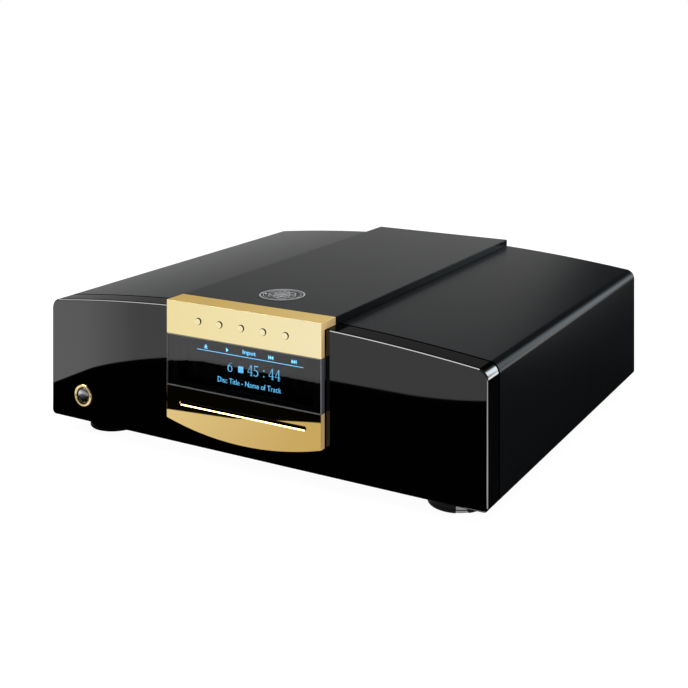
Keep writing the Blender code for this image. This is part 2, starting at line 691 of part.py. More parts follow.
def laser_sled():
    """A carriage on two rods, with the lens on a turret and a half nut over the lead screw."""
    rear = SLED_FRONT + SLED_LENGTH
    body = box((-27.0, 27.0), (SLED_FRONT, rear), (19.5, 28.5))
    turret = rod("z", (0.0, LENS_Y + 0.5), 4.0, 28.0, 34.0, 20)
    nut = box((26.0, 36.0), (SLED_FRONT + 8.0, SLED_FRONT + 16.0), (RAIL_Z + SCREW_RADIUS + GAP, 28.0))
    bores = [rod("y", (x, RAIL_Z), RAIL_RADIUS + GAP, SLED_FRONT - 2.0, rear + 2.0, 12)
             for x in (-RAIL_X, RAIL_X)]
    piece("laser_sled", "black_plastic", body, join(turret), join(nut), cut(group(*bores)),
          origin=(0.0, LENS_Y, RAIL_Z))


def sled_drive():
    """Two guide rods, the lead screw and the motor that turns it."""
    for side, x in (("left", -RAIL_X), ("right", RAIL_X)):
        piece(f"guide_rod_{side}", "silver", rod("y", (x, RAIL_Z), RAIL_RADIUS, 112.0, 190.0, 12))
    spot = (SCREW_X, RAIL_Z)
    screw = rod("y", spot, SCREW_RADIUS, 112.5, 187.6, 16)
    piece("lead_screw", "silver", screw, origin=(SCREW_X, 112.5, RAIL_Z))
    motor = [(1.0, 187.9), (1.0, 191.0), (7.5, 191.0), (7.5, 208.0)]
    piece("sled_motor", "silver", turned("y", spot, motor, 20))


def loading_drive():
    """The rubber roller with its gear, and the motor with its pinion."""
    centre, driver = (ROLLER_Y, ROLLER_Z), pinion_centre()
    shaft, end = 1.5, 60.0
    profile = [(shaft, -78.0), (shaft, -end), (ROLLER_RADIUS, -end), (ROLLER_RADIUS - 0.5, 0.0),
               (ROLLER_RADIUS, end), (shaft, end), (shaft, 82.0)]
    piece("loading_roller", "rubber", turned("x", centre, profile, 20), origin=(0.0, *centre))
    low, high = DRIVE_HALF + 1.0, DRIVE_HALF + 4.5
    toward = math.atan2(driver[1] - centre[1], driver[0] - centre[0])
    gear = slab("x", gear_outline(centre, GEAR_TEETH, toward), low, high, [circle(*centre, shaft + GAP, 16)])
    piece("roller_gear", "white_plastic", gear, origin=(0.0, *centre))
    away = toward + math.pi + math.pi / PINION_TEETH
    pinion = slab("x", gear_outline(driver, PINION_TEETH, away), low, high, [circle(*driver, 1.05, 12)])
    piece("motor_pinion", "white_plastic", pinion, origin=(0.0, *driver))
    face = DRIVE_HALF - SHEET - GAP
    motor = [(6.0, 52.0), (6.0, face), (0.75, face), (0.75, high + 1.0)]
    piece("loading_motor", "silver", turned("x", driver, motor, 20))


def clamp():
    """The arm that swings down over the disc, the puck it carries and the slide that moves it."""
    low, high = CLAMP_Z - 1.0, CLAMP_Z + 1.0
    arm = slab("z", rounded(-10.0, HUB_Y - 11.0, 10.0, CLAMP_Y + 2.0, 3.0), low, high)
    cross = box((-69.0, 9.0), (CAM_PIN_Y - 3.0, CAM_PIN_Y + 3.0), (low - 0.1, high + 0.1))
    pivot = rod("x", (CLAMP_Y, CLAMP_Z), 1.5, -36.0, 36.0, 12)
    pin = rod("x", (CAM_PIN_Y, CLAMP_Z), 1.0, -73.7, -68.0, 10)
    hole = rod("z", (0.0, HUB_Y), 5.8, low - 2.0, high + 2.0, 20)
    piece("clamp_arm", "zinc_steel", arm, join(cross), join(pivot), join(pin), cut(hole),
          origin=(0.0, CLAMP_Y, CLAMP_Z))
    face, under, over = low - 2.9, low - GAP, high + GAP
    puck = [(8.6, face + 1.6), (8.6, face), (14.0, face), (14.0, under), (5.4, under), (5.4, over),
            (8.0, over), (8.0, over + 1.4)]
    piece("clamp_puck", "black_plastic", turned("z", (0.0, HUB_Y), puck), origin=(0.0, HUB_Y, face))
    cam_slide()


def cam_slide():
    """A slide on the frame's left wall, with a sloping slot that lowers the clamp arm's pin."""
    left = SHEET + GAP - DRIVE_HALF
    fall = CLAMP_DROP * (CLAMP_Y - CAM_PIN_Y) / (CLAMP_Y - HUB_Y)
    clear = 1.5
    slot = [(CAM_PIN_Y + clear, CLAMP_Z - clear), (CAM_PIN_Y + clear, CLAMP_Z + clear),
            (CAM_PIN_Y - CAM_TRAVEL - clear, CLAMP_Z - fall + clear),
            (CAM_PIN_Y - CAM_TRAVEL - clear, CLAMP_Z - fall - clear)]
    sheet = slab("x", rectangle(70.0, 34.0, 190.0, CLAMP_Z + 3.0), left, left + 1.6, [slot])
    piece("cam_slide", "white_plastic", sheet, origin=(left, 70.0, 34.0))


# ---------------------------------------------------------------- electronics

def toroidal_transformer():
    """A wound ring with its clamping washer and a potted middle."""
    low = FLOOR_TOP + GAP
    profile = [(50.0, low), (54.0, low + 4.0), (55.0, low + 10.0), (55.0, low + 38.0), (54.0, low + 44.0),
               (50.0, low + 48.0), (32.0, low + 48.5), (31.0, low + 50.5), (6.0, low + 50.5),
               (6.0, low + 54.0)]
    piece("toroidal_transformer", "copper_winding", turned("z", TOROID_AT, profile, 28))


def board(x, y):
    return box(x, y, (BOARD_Z, BOARD_Z + BOARD_THICK))


def chip(x, y, width, depth, height):
    """A component that stands on a board."""
    sides = (x - width / 2, x + width / 2), (y - depth / 2, y + depth / 2)
    return box(*sides, (BOARD_Z + 1.0, BOARD_Z + height))


def can(x, y, radius, height, segments=16):
    return rod("z", (x, y), radius, BOARD_Z + 1.0, BOARD_Z + height, segments)


def power_board():
    """Four reservoir capacitors, a finned heat sink and a row of regulators."""
    cans = [can(x, y, 12.5, 42.0, 20) for x in (-184.0, -155.0) for y in (142.0, 172.0)]
    fins = [chip(x, 160.0, 2.0, 60.0, 38.0) for x in (-125.0, -118.0, -111.0, -104.0)]
    spine = chip(-114.5, 160.0, 24.0, 4.0, 38.0)
    parts = [chip(x, 205.0, 10.0, 5.0, 16.0) for x in (-180.0, -160.0, -140.0, -120.0)]
    piece("power_board", "circuit_board", board((-205.0, -90.0), (122.0, 220.0)),
          join(group(*cans, *parts)), join(group(*fins)), join(spine))


def dac_board():
    """Converter chips, clock can, relays and output capacitors."""
    chips = [chip(110.0, 250.0, 14.0, 14.0, 3.4), chip(145.0, 262.0, 10.0, 10.0, 3.4),
             chip(185.0, 262.0, 10.0, 10.0, 3.4), chip(110.0, 285.0, 20.0, 12.0, 7.0),
             chip(110.0, 320.0, 24.0, 16.0, 12.0), chip(24.0, 237.0, 24.0, 6.0, 9.0),
             chip(50.0, 300.0, 28.0, 28.0, 4.0)]
    relays = [chip(x, 350.0, 10.0, 20.0, 12.0) for x in (145.0, 185.0)]
    cans = [can(x, y, 5.0, 14.0, 12) for x in (135.0, 155.0, 175.0, 195.0) for y in (290.0, 315.0)]
    piece("dac_board", "circuit_board", board((12.0, 205.0), (222.0, 385.0)),
          join(group(*chips, *relays, *cans)))


def mains_cable():
    """From the back of the inlet, round the outside of the transformer, to the power board."""
    curve = bpy.data.curves.new("mains_cable", "CURVE")
    curve.dimensions = "3D"
    curve.bevel_depth = 3.0 * MM
    curve.bevel_resolution = 2
    curve.use_fill_caps = True
    curve.resolution_u = 6
    path = [(-170.0, 358.6, 36.0), (-200.0, 346.0, 30.0), (-207.0, 290.0, 24.0), (-200.0, 224.0, 24.0)]
    line = curve.splines.new("BEZIER")
    line.bezier_points.add(len(path) - 1)
    for knot, spot in zip(line.bezier_points, path):
        knot.co = [value * MM for value in spot]
        knot.handle_left_type = knot.handle_right_type = "AUTO"
    cable = bpy.data.objects.new("mains_cable", curve)
    cable.data.materials.append(finish("black_plastic"))
    cable.parent = bpy.data.objects["datum"]
    bpy.context.collection.objects.link(cable)


def display_ribbon():
    """From the display, through the front frame and over the drive, to the converter board."""
    rear = SPACER_END + GAP
    path = [(rear, 66.0), (rear + 3.0, 68.0), (60.0, 68.0), (216.0, 58.0), (228.0, 44.0), (230.0, 18.4)]
    ribbon = slab("x", strip_outline(path, 0.6), 14.0, 34.0)
    piece("display_ribbon", "white_plastic", ribbon)


# ---------------------------------------------------------------- assembly

def clear_scene():
    for obj in list(bpy.data.objects):
        bpy.data.objects.remove(obj)


def build():
    clear_scene()
    datum = bpy.data.objects.new("datum", None)
    datum.location = (0.0, -CENTRE_Y * MM, FOOT_DROP * MM)
    bpy.context.collection.objects.link(datum)
    groups = (
        (front_panel, front_frame, main_cover, spine_cover, badge, bottom_chassis, rear_panel),
        (cover_screws, feet, mains_cable, display_ribbon),
        (trim_carrier, button_bar, display_window, slot_plate, slot_felt, buttons, power_control),
        (sockets, xlr_connectors, usb_input, mains_inlet, fuse_drawer, mains_rocker),
        (drive_frame, drive_top_plate, spindle, laser_sled, sled_drive, loading_drive, clamp),
        (button_board, display_module, toroidal_transformer, power_board, dac_board),
    )
    for makers in groups:
        for make in makers:
            make()
    bpy.context.view_layer.update()


build()
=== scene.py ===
"""Looks of the slot-loading disc player, and the studio it stands in.

Shapes are drawn in the body's own millimetres: x from the middle, y back from the face of the front panel,
z up from the body's underside. make() turns them into the frame's metres. Fine pieces stand for the
faceted CAD solids wherever light runs along them; every other CAD node keeps its shape and gets softened
edges and a procedural finish.
"""
import json
import math

import bmesh
import bpy
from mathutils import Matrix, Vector

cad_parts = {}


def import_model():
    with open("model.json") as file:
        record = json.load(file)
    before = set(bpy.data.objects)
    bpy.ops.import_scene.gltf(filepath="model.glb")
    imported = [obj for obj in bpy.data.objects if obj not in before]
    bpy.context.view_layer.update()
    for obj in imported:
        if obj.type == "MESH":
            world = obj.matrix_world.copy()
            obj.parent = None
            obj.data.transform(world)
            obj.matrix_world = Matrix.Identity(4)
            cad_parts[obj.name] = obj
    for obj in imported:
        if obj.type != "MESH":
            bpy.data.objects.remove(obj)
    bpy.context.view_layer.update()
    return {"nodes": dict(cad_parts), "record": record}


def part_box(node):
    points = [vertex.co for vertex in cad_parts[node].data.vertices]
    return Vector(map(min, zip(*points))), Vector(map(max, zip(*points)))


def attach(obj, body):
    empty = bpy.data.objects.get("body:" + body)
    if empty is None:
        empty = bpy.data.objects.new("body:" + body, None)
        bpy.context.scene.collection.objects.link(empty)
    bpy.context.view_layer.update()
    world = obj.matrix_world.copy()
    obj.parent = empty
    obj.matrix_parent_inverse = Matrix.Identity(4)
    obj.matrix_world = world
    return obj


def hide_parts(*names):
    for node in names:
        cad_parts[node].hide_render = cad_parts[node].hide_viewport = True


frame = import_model()

MM = 0.001
ORIGIN = Vector((0.0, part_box("front_panel")[0].y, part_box("front_panel")[0].z))
BODY_OF = {node: body for body, nodes in frame["record"]["behaviour"]["bodies"].items() for node in nodes}
SLOT_OF = {part["node"]: part["material_slot"] for part in frame["record"]["subparts"]}


def span(node, axis):
    """Where a CAD node starts and ends along an axis, in the body's millimetres."""
    index = "xyz".index(axis)
    return tuple((corner[index] - ORIGIN[index]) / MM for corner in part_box(node))


def centre(node, axes="xz"):
    """The middle of a CAD node along some axes, in the body's millimetres."""
    return tuple(sum(span(node, axis)) / 2 for axis in axes)


# Sizes that the frame gives
HALF = span("front_panel", "x")[1]
CROWN = span("front_panel", "z")[1]
PANEL_BACK = span("front_panel", "y")[1]
COVER_FRONT, COVER_REAR = span("main_cover", "y")
SPINE_FRONT, SPINE_REAR = span("spine_cover", "y")
SPINE_HALF = span("spine_cover", "x")[1]
SPINE_TOP = span("spine_cover", "z")[1]
TRIM_HALF = span("slot_plate", "x")[1]
TRIM_FRONT, TRIM_BACK = span("slot_plate", "y")
BAR_LOW, BAR_TOP = span("button_bar", "z")
FLANGE_REAR = span("button_bar", "y")[1]
PLATE_LOW, PLATE_TOP = span("slot_plate", "z")
REAR_IN, REAR_OUT = span("rear_panel", "y")
BADGE_RADIUS = span("badge", "x")[1]
BUTTON_NAMES = ("eject", "play", "input", "previous", "next")
SCREWS = [f"cover_screw_{number}" for number in (1, 2, 3, 4)]

# Shapes that the frame's boxes don't show
ARCH_RADIUS = 1800.0
SHOULDER_RADIUS = 9.0
BOTTOM_RADIUS = 4.5
COVER_THICK = 3.0
COVER_LIP = 18.0
GAP = 0.3
SEAT = REAR_OUT + GAP  # where screws and sockets sit on the rear panel
INSIDE = COVER_THICK + GAP
PANEL_CHAMFER = 1.0
PANEL_SEAM = PANEL_CHAMFER + 1.6  # end of the painted shade line behind the chamfer
REBATE = 1.4  # depth and width of the step round the cover's front edge
# (half width, low, high) of the panel's openings behind the slot plate, the window and the button bar
OPENINGS = ((68.0, 34.5, 43.5), (71.0, 57.5, 96.0), (56.0, 107.5, 119.5))
PLATE_CORNER = 23.9
SLOT_Z = 39.3
SLOT_LENGTH = 132.0
SLOT_HEIGHT = 3.2
BUTTON_HOLE = 3.5
CAP_RADIUS = 3.0
SCREW_HOLE = 1.8
EDGE = 0.35  # how far a machined edge is broken


# ---- outlines

def arc(x, y, radius, start, end, steps):
    """Points on a circle from one angle to another, in degrees, both ends included."""
    angles = [math.radians(start + (end - start) * i / steps) for i in range(steps + 1)]
    return [(x + radius * math.cos(a), y + radius * math.sin(a)) for a in angles]


def circle(x, y, radius, segments=48):
    return arc(x, y, radius, 0, 360, segments)[:-1]


def rectangle(left, low, right, high, radius=0.0, steps=5):
    """A rectangle, with round corners if it has a radius."""
    if not radius:
        return [(left, low), (right, low), (right, high), (left, high)]
    left, low, right, high = left + radius, low + radius, right - radius, high - radius
    corners = (right, low, -90), (right, high, 0), (left, high, 90), (left, low, 180)
    return sum((arc(x, y, radius, start, start + 90, steps) for x, y, start in corners), [])


def stadium(x, y, length, height, steps=14):
    half = (length - height) / 2
    right = arc(x + half, y, height / 2, -90, 90, steps)
    return right + arc(x - half, y, height / 2, 90, 270, steps)


def body_path(inset=0.0):
    """The body's outline as an open path, from the lower right corner over the arch to the lower left."""
    shoulder_x = HALF - SHOULDER_RADIUS
    reach = ARCH_RADIUS - SHOULDER_RADIUS
    arch_z = CROWN - ARCH_RADIUS
    shoulder_z = arch_z + math.sqrt(reach ** 2 - shoulder_x ** 2)
    lean = math.degrees(math.asin(shoulder_x / reach))
    corner_x = HALF - BOTTOM_RADIUS
    path = arc(corner_x, BOTTOM_RADIUS, BOTTOM_RADIUS - inset, -90, 0, 8)
    path += arc(shoulder_x, shoulder_z, SHOULDER_RADIUS - inset, 0, 90 - lean, 16)
    path += arc(0, arch_z, ARCH_RADIUS - inset, 90 - lean, 90 + lean, 96)[1:-1]
    path += arc(-shoulder_x, shoulder_z, SHOULDER_RADIUS - inset, 90 + lean, 180, 16)
    return path + arc(-corner_x, BOTTOM_RADIUS, BOTTOM_RADIUS - inset, 180, 270, 8)


def cover_section():
    """One sheet thick, and open underneath between its two lips."""
    lip = HALF - COVER_LIP
    inner = [(-lip, COVER_THICK)] + body_path(COVER_THICK)[::-1] + [(lip, COVER_THICK)]
    return [(lip, 0.0)] + body_path() + [(-lip, 0.0)] + inner


def spine_section(half, round_r):
    """Flat on top with round edges, and hollowed underneath to sit on the arch."""
    radius = ARCH_RADIUS + GAP
    lean = math.degrees(math.asin(half / radius))
    under = arc(0, CROWN - ARCH_RADIUS, radius, 90 + lean, 90 - lean, 40)
    right = arc(half - round_r, SPINE_TOP - round_r, round_r, 0, 90, 5)
    return under + right + arc(round_r - half, SPINE_TOP - round_r, round_r, 90, 180, 5)


def slot_plate_outline():
    """Square at the top, with a lower edge that sags in one arc."""
    sag = PLATE_CORNER - PLATE_LOW
    radius = (TRIM_HALF ** 2 + sag ** 2) / (2 * sag)
    lean = math.degrees(math.asin(TRIM_HALF / radius))
    low = arc(0, PLATE_LOW + radius, radius, 270 - lean, 270 + lean, 72)
    return low + [(TRIM_HALF, PLATE_TOP), (-TRIM_HALF, PLATE_TOP)]


def offset(outline, distance):
    """The outline moved inwards all round, with its corners mitred."""
    area = sum(a[0] * b[1] - b[0] * a[1] for a, b in zip(outline, outline[1:] + outline[:1]))
    inward = math.copysign(distance, area)
    moved = []
    for i, spot in enumerate(outline):
        before = Vector(spot) - Vector(outline[i - 1])
        after = Vector(outline[(i + 1) % len(outline)]) - Vector(spot)
        before.normalize()
        after.normalize()
        normal = Vector((-before.y - after.y, before.x + after.x))
        moved.append(tuple(Vector(spot) + normal * inward / (1 + before.dot(after))))
    return moved


def soften(path, radius, steps=4):
    """The path with its inner corners rounded, by no more than 0.4 of the shorter side."""
    softened = [path[0]]
    for before, spot, after in zip(path, path[1:], path[2:]):
        corner = Vector(spot)
        back, on = Vector(before) - corner, Vector(after) - corner
        reach = min(radius, 0.4 * back.length, 0.4 * on.length)
        start, end = corner + back.normalized() * reach, corner + on.normalized() * reach
        for i in range(steps + 1):
            t = i / steps
            softened.append(tuple(start * (1 - t) ** 2 + corner * 2 * t * (1 - t) + end * t ** 2))
    return softened + [path[-1]]


# ---- solids

# which of across, up and along is x, y and z, for each axis
ORDER = {"x": (2, 0, 1), "y": (0, 2, 1), "z": (0, 1, 2)}


def ring_of(mesh, axis, outline, along):
    """Draws an outline across an axis, at a place along it."""
    ring = [mesh.verts.new([(*spot, along)[index] for index in ORDER[axis]]) for spot in outline]
    for i, vertex in enumerate(ring):
        mesh.edges.new((ring[i - 1], vertex))
    return ring


def skin(mesh, rings):
    """Walls from each ring to the next."""
    for low, high in zip(rings, rings[1:]):
        for i in range(len(low)):
            mesh.faces.new((low[i - 1], low[i], high[i], high[i - 1]))


def cap(mesh, rings):
    """An end face. The first ring is its outside, and the others are holes in it."""
    if len(rings) == 1:
        mesh.faces.new(rings[0])
        return
    edges = [mesh.edges.get((ring[i - 1], ring[i])) for ring in rings for i in range(len(ring))]
    bmesh.ops.triangle_fill(mesh, use_beauty=True, edges=edges)


def back_edge(high, size, steps=3):
    """(Inset, place along the axis) pairs for the rounded back end of a wall."""
    quarter = [math.pi / 2 * i / steps for i in range(steps + 1)]
    return [(size * (1 - math.cos(a)), high - size * (1 - math.sin(a))) for a in quarter]


def edged(low, high, front=EDGE, back=EDGE):
    """(Inset, place along the axis) pairs for a wall whose two ends are rounded."""
    start = [(inset, low - place) for inset, place in reversed(back_edge(0.0, front))]
    return start + back_edge(high, back)


def plate(axis, outline, profile, holes=()):
    """A closed solid whose wall follows a profile of (inset, place) pairs.

    Each hole is (outline, profile), and its insets widen it.
    """
    mesh = bmesh.new()
    starts, ends = [], []
    for shape, wall, inwards in ((outline, profile, 1), *[(hole, wall, -1) for hole, wall in holes]):
        rings = [ring_of(mesh, axis, offset(shape, inwards * inset) if inset else shape, along)
                 for inset, along in wall]
        skin(mesh, rings)
        starts.append(rings[0])
        ends.append(rings[-1])
    cap(mesh, starts)
    cap(mesh, ends)
    bmesh.ops.recalc_face_normals(mesh, faces=mesh.faces)
    return mesh


def lofted(axis, sections, hollow=False):
    """A solid through (outline, place along the axis) sections. A hollow one ends where it starts."""
    mesh = bmesh.new()
    rings = [ring_of(mesh, axis, outline, along) for outline, along in sections]
    skin(mesh, rings + rings[:1] if hollow else rings)
    if not hollow:
        cap(mesh, [rings[0]])
        cap(mesh, [rings[-1]])
    bmesh.ops.recalc_face_normals(mesh, faces=mesh.faces)
    return mesh


def turned(axis, centre, profile, segments=64, hollow=False, soft=0.0):
    """A solid of revolution through (radius, place along the axis) points, with its corners softened."""
    if soft:
        profile = soften(profile + profile[:1], soft)[:-1] if hollow else soften(profile, soft)
    return lofted(axis, [(circle(*centre, radius, segments), along) for radius, along in profile], hollow)


def block(x, y, z, edge=0.0):
    """A block from three (low, high) pairs. Its edges are broken if it has an edge size."""
    outline = rectangle(x[0], y[0], x[1], y[1], edge, 3)
    return plate("z", outline, edged(*z, edge, edge) if edge else [(0, z[0]), (0, z[1])])


def baked(name, mesh):
    """The bmesh as mesh data."""
    data = bpy.data.meshes.new(name)
    mesh.to_mesh(data)
    mesh.free()
    return data


def linked(name, data):
    """An object in the scene."""
    obj = bpy.data.objects.new(name, data)
    bpy.context.scene.collection.objects.link(obj)
    return obj


def combine(base, *steps):
    """Joins or cuts shapes exactly. Each step is ("UNION" or "DIFFERENCE", shape)."""
    whole = linked("whole", baked("whole", base))
    tools = [linked("tool", baked("tool", shape)) for _, shape in steps]
    for (operation, _), tool in zip(steps, tools):
        modifier = whole.modifiers.new(operation, "BOOLEAN")
        modifier.operation = operation
        modifier.solver = "EXACT"
        modifier.object = tool
    result = bmesh.new()
    result.from_object(whole, bpy.context.evaluated_depsgraph_get())
    for obj in (whole, *tools):
        bpy.data.meshes.remove(obj.data)
    return result


def group(*meshes):
    """Several separate solids in one mesh."""
    joined = bmesh.new()
    for mesh in meshes:
        data = baked("group", mesh)
        joined.from_mesh(data)
        bpy.data.meshes.remove(data)
    return joined


def make(name, mesh, node, material, replaces=True, sharp=35):
    """A piece on the body of a CAD node, which it stands for unless told otherwise."""
    for vertex in mesh.verts:
        vertex.co = ORIGIN + vertex.co * MM
    data = baked(name, mesh)
    obj = linked(name, data)
    data.materials.append(material)
    data.shade_smooth()
    data.set_sharp_from_angle(angle=math.radians(sharp))
    weigh_normals(obj)
    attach(obj, BODY_OF[node])
    if replaces:
        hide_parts(node)
    return obj


def dress_faces(obj, material, rule):
    """Gives another finish to the faces whose middle (in the body's millimetres) and normal meet a rule."""
    obj.data.materials.append(material)
    index = len(obj.data.materials) - 1
    for face in obj.data.polygons:
        if rule((face.center - ORIGIN) / MM, face.normal):
            face.material_index = index


def weigh_normals(obj):
    """Shades large flat faces flat, and lets the broken edges turn the light."""
    weighted = obj.modifiers.new("normals", "WEIGHTED_NORMAL")
    weighted.keep_sharp = True
    weighted.weight = 50


# ---- node trees

def by(operation):
    """A method that adds one math node."""
    return lambda *values: values[0].graph.math(operation, *values)


class Value:
    """A node's output that takes part in sums like a number. Each step adds a node."""

    def __init__(self, graph, socket):
        self.graph = graph
        self.socket = socket

    __add__ = by("ADD")
    __sub__ = by("SUBTRACT")
    __mul__ = by("MULTIPLY")
    __truediv__ = by("DIVIDE")
    __pow__ = by("POWER")
    __abs__ = by("ABSOLUTE")
    at_least = by("MAXIMUM")
    at_most = by("MINIMUM")

    def __rsub__(self, other):
        return self.graph.math("SUBTRACT", other, self)

    def ramp(self, low, high, start=0.0, end=1.0):
        """Runs from start to end as the value goes from low to high, and stays there outside."""
        links = ("Value", self), ("From Min", low), ("From Max", high), ("To Min", start), ("To Max", end)
        return Value(self.graph, self.graph.add("MapRange", *links).outputs["Result"])

    def within(self, low, high, soft):
        """One between low and high and zero outside, with soft steps."""
        return self.ramp(low - soft, low + soft) * self.ramp(high + soft, high - soft)


class Graph:
    """A node tree, with a short way to add a node and link what feeds it."""

    def __init__(self, tree):
        self.tree = tree

    def add(self, kind, *links, **settings):
        """Adds a shader node; links are (input, value) pairs."""
        node = self.tree.nodes.new("ShaderNode" + kind)
        for name, value in settings.items():
            setattr(node, name, value)
        for socket, value in links:
            self.feed(node.inputs[socket], value)
        return node

    def feed(self, socket, value):
        """Links a value or a socket to an input, or sets the input to a number."""
        source = value.socket if isinstance(value, Value) else value
        if isinstance(source, bpy.types.NodeSocket):
            self.tree.links.new(source, socket)
        else:
            socket.default_value = source

    def math(self, operation, *values):
        return Value(self, self.add("Math", *enumerate(values), operation=operation).outputs[0])

    def parts(self, vector):
        """The x, y and z of a vector."""
        node = self.add("SeparateXYZ", ("Vector", vector))
        return [Value(self, socket) for socket in node.outputs]

    def mix(self, factor, first, second):
        """A colour between two others. The node's sockets for colours are its seventh, eighth and third."""
        return self.add("Mix", (0, factor), (6, first), (7, second), data_type="RGBA").outputs[2]


# ---- materials

class Surface(Graph):
    """A material's node tree, with its shader and the place on the object."""

    def __init__(self, material):
        super().__init__(material.node_tree)
        self.shader = material.node_tree.nodes["Principled BSDF"]
        self.place = self.add("TexCoord").outputs["Object"]

    def set(self, label, value):
        self.feed(self.shader.inputs[label], value)

    def emboss(self, height, depth):
        """Bumps the surface by a height from 0 to 1, times a depth in millimetres."""
        relief = self.add("Bump", ("Height", height), ("Distance", depth * MM))
        self.set("Normal", relief.outputs[0])


def shade(colour, factor):
    return (*[min(1.0, value * factor) for value in colour], 1.0)


def finish(name, colour, roughness, metallic=0.0, grain=900.0, tone=0.08, gloss=0.1, bump=0.0, detail=3.0,
           **inputs):
    """A surface whose tone, gloss and relief vary with a grain.

    Grain is in cycles per metre: one number, or three along x, y and z. Tone and gloss are shares of the
    colour and the roughness, and bump is the relief's height in millimetres.
    """
    material = bpy.data.materials.new(name)
    material.use_nodes = True
    surface = Surface(material)
    scale = grain if isinstance(grain, tuple) else (grain,) * 3
    spot = surface.add("Mapping", ("Vector", surface.place), ("Scale", scale)).outputs[0]
    noise = surface.add("TexNoise", ("Vector", spot), ("Scale", 1.0), ("Detail", detail)).outputs[0]
    surface.set("Base Color", surface.mix(noise, shade(colour, 1 - tone), shade(colour, 1 + tone)))
    surface.set("Roughness", roughness)
    surface.set("Metallic", metallic)
    if gloss:
        low, high = roughness * (1 - gloss), roughness * (1 + gloss)
        surface.set("Roughness", Value(surface, noise).ramp(0.3, 0.7, low, high))
    if bump:
        surface.emboss(noise, bump)
    for label, value in inputs.items():
        surface.set(label.replace("_", " "), value)
    return material


WHITE = (1.0, 1.0, 1.0, 1.0)


def lacquer(name, colour, roughness, ior, bump=0.0):
    """Polished black lacquer: a deep black under a mirror surface, very slightly wavy if it has a bump."""
    return finish(name, colour, roughness, grain=14.0, tone=0.2, bump=bump, detail=1.0, IOR=ior)


def gold(name, roughness, left, right=None):
    """Plated brass with faint long grain. Its colour can run from left to right across the trim, as painted
    light that is brighter on one side than the other.
    """
    material = finish(name, left, roughness, 1.0, grain=(60.0, 900.0, 900.0), tone=0.02, gloss=0.25,
                      bump=0.0003, Specular_Tint=(0.92, 0.76, 0.45, 1.0))
    if right:
        surface = Surface(material)
        across = surface.parts(surface.place)[0].ramp(-TRIM_HALF * MM, TRIM_HALF * MM)
        grained = surface.shader.inputs["Base Color"].links[0].from_socket
        painted_light_across = surface.mix(across, WHITE, (*[b / a for a, b in zip(left, right)], 1.0))
        product = surface.add("VectorMath", (0, grained), (1, painted_light_across), operation="MULTIPLY")
        surface.set("Base Color", product.outputs[0])
    return material


def glow(name, strength):
    """A lit display mark, with the faint unevenness of its phosphor underneath."""
    return finish(name, (0.02, 0.05, 0.07), 0.5, grain=3000.0, tone=0.3,
                  Emission_Color=(0.14, 0.54, 0.88, 1.0), Emission_Strength=strength)


def brushed(name, colour, roughness):
    """Metal with long scratches from left to right."""
    grain = (25.0, 1500.0, 1500.0)
    return finish(name, colour, roughness, 1.0, grain, tone=0.10, gloss=0.3, bump=0.002)


def zinc():
    """Plated sheet with large soft crystals in its tone."""
    material = finish("zinc_sheet", (0.50, 0.51, 0.50), 0.40, 1.0, grain=700.0, bump=0.001)
    surface = Surface(material)
    cells = surface.add("TexVoronoi", ("Vector", surface.place), ("Scale", 140.0)).outputs["Color"]
    share = surface.add("SeparateColor", ("Color", cells)).outputs[0]
    surface.set("Base Color", surface.mix(share, (0.42, 0.43, 0.43, 1), (0.58, 0.59, 0.58, 1)))
    return material


def circuit_board():
    """Green mask over a grid of fine copper tracks."""
    material = finish("circuit_board", (0.010, 0.085, 0.035), 0.38, grain=500.0, bump=0.002)
    surface = Surface(material)
    sizes = ("Scale", 90.0), ("Mortar Size", 0.012), ("Brick Width", 0.9), ("Row Height", 0.16)
    tracks = surface.add("TexBrick", ("Vector", surface.place), *sizes).outputs["Fac"]
    surface.set("Base Color", surface.mix(tracks, (0.008, 0.075, 0.030, 1), (0.03, 0.16, 0.07, 1)))
    return material


def copper_winding():
    """Varnished wire laid side by side round the ring, with painted shade in the grooves between the turns.
    """
    turns = 110.0
    material = finish("copper_winding", (0.42, 0.19, 0.07), 0.30, 0.7)
    surface = Surface(material)
    hub = sum(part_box("toroidal_transformer"), Vector()) / 2
    x, y, _ = surface.parts(surface.place)
    wire = abs(surface.math("SINE", surface.math("ARCTAN2", y - hub.y, x - hub.x) * turns))
    surface.emboss(wire, 0.4)
    # painted shade: darker where the relief dips between the turns
    surface.set("Base Color", surface.mix(wire, (0.16, 0.06, 0.02, 1), (0.48, 0.23, 0.09, 1)))
    return material


LACQUER = lacquer("lacquer", (0.0002, 0.0002, 0.0003), 0.03, 1.5, bump=0.0012)
SHADOW = finish("seam_shadow", (0.0006, 0.0006, 0.0006), 0.9, IOR=1.02)
SATIN = finish("satin_coat", (0.0048, 0.0056, 0.0064), 0.22, grain=2600.0, tone=0.3, gloss=0.12, bump=0.0003,
               IOR=1.10)
GOLD = gold("polished_gold", 0.08, (0.86, 0.72, 0.39))
# painted light: the bar's gold runs from darker on the left to brighter on the right
BAR_GOLD = gold("bar_gold", 0.08, (0.78, 0.655, 0.33), (0.895, 0.78, 0.47))
# painted light: the button caps' gold runs from darker on the left to brighter on the right
CAP_GOLD = gold("cap_gold", 0.06, (0.82, 0.70, 0.38), (0.93, 0.82, 0.53))
# the trim's sides: milled, and painted shade as a darker, browner, half matt copy of the gold
SIDE_GOLD = finish("milled_gold_painted_shade", (0.80, 0.56, 0.25), 0.45, 0.4, (900.0, 60.0, 900.0), tone=0.06, bump=0.001)
RING_GOLD = gold("ring_gold", 0.05, (0.85, 0.66, 0.33))
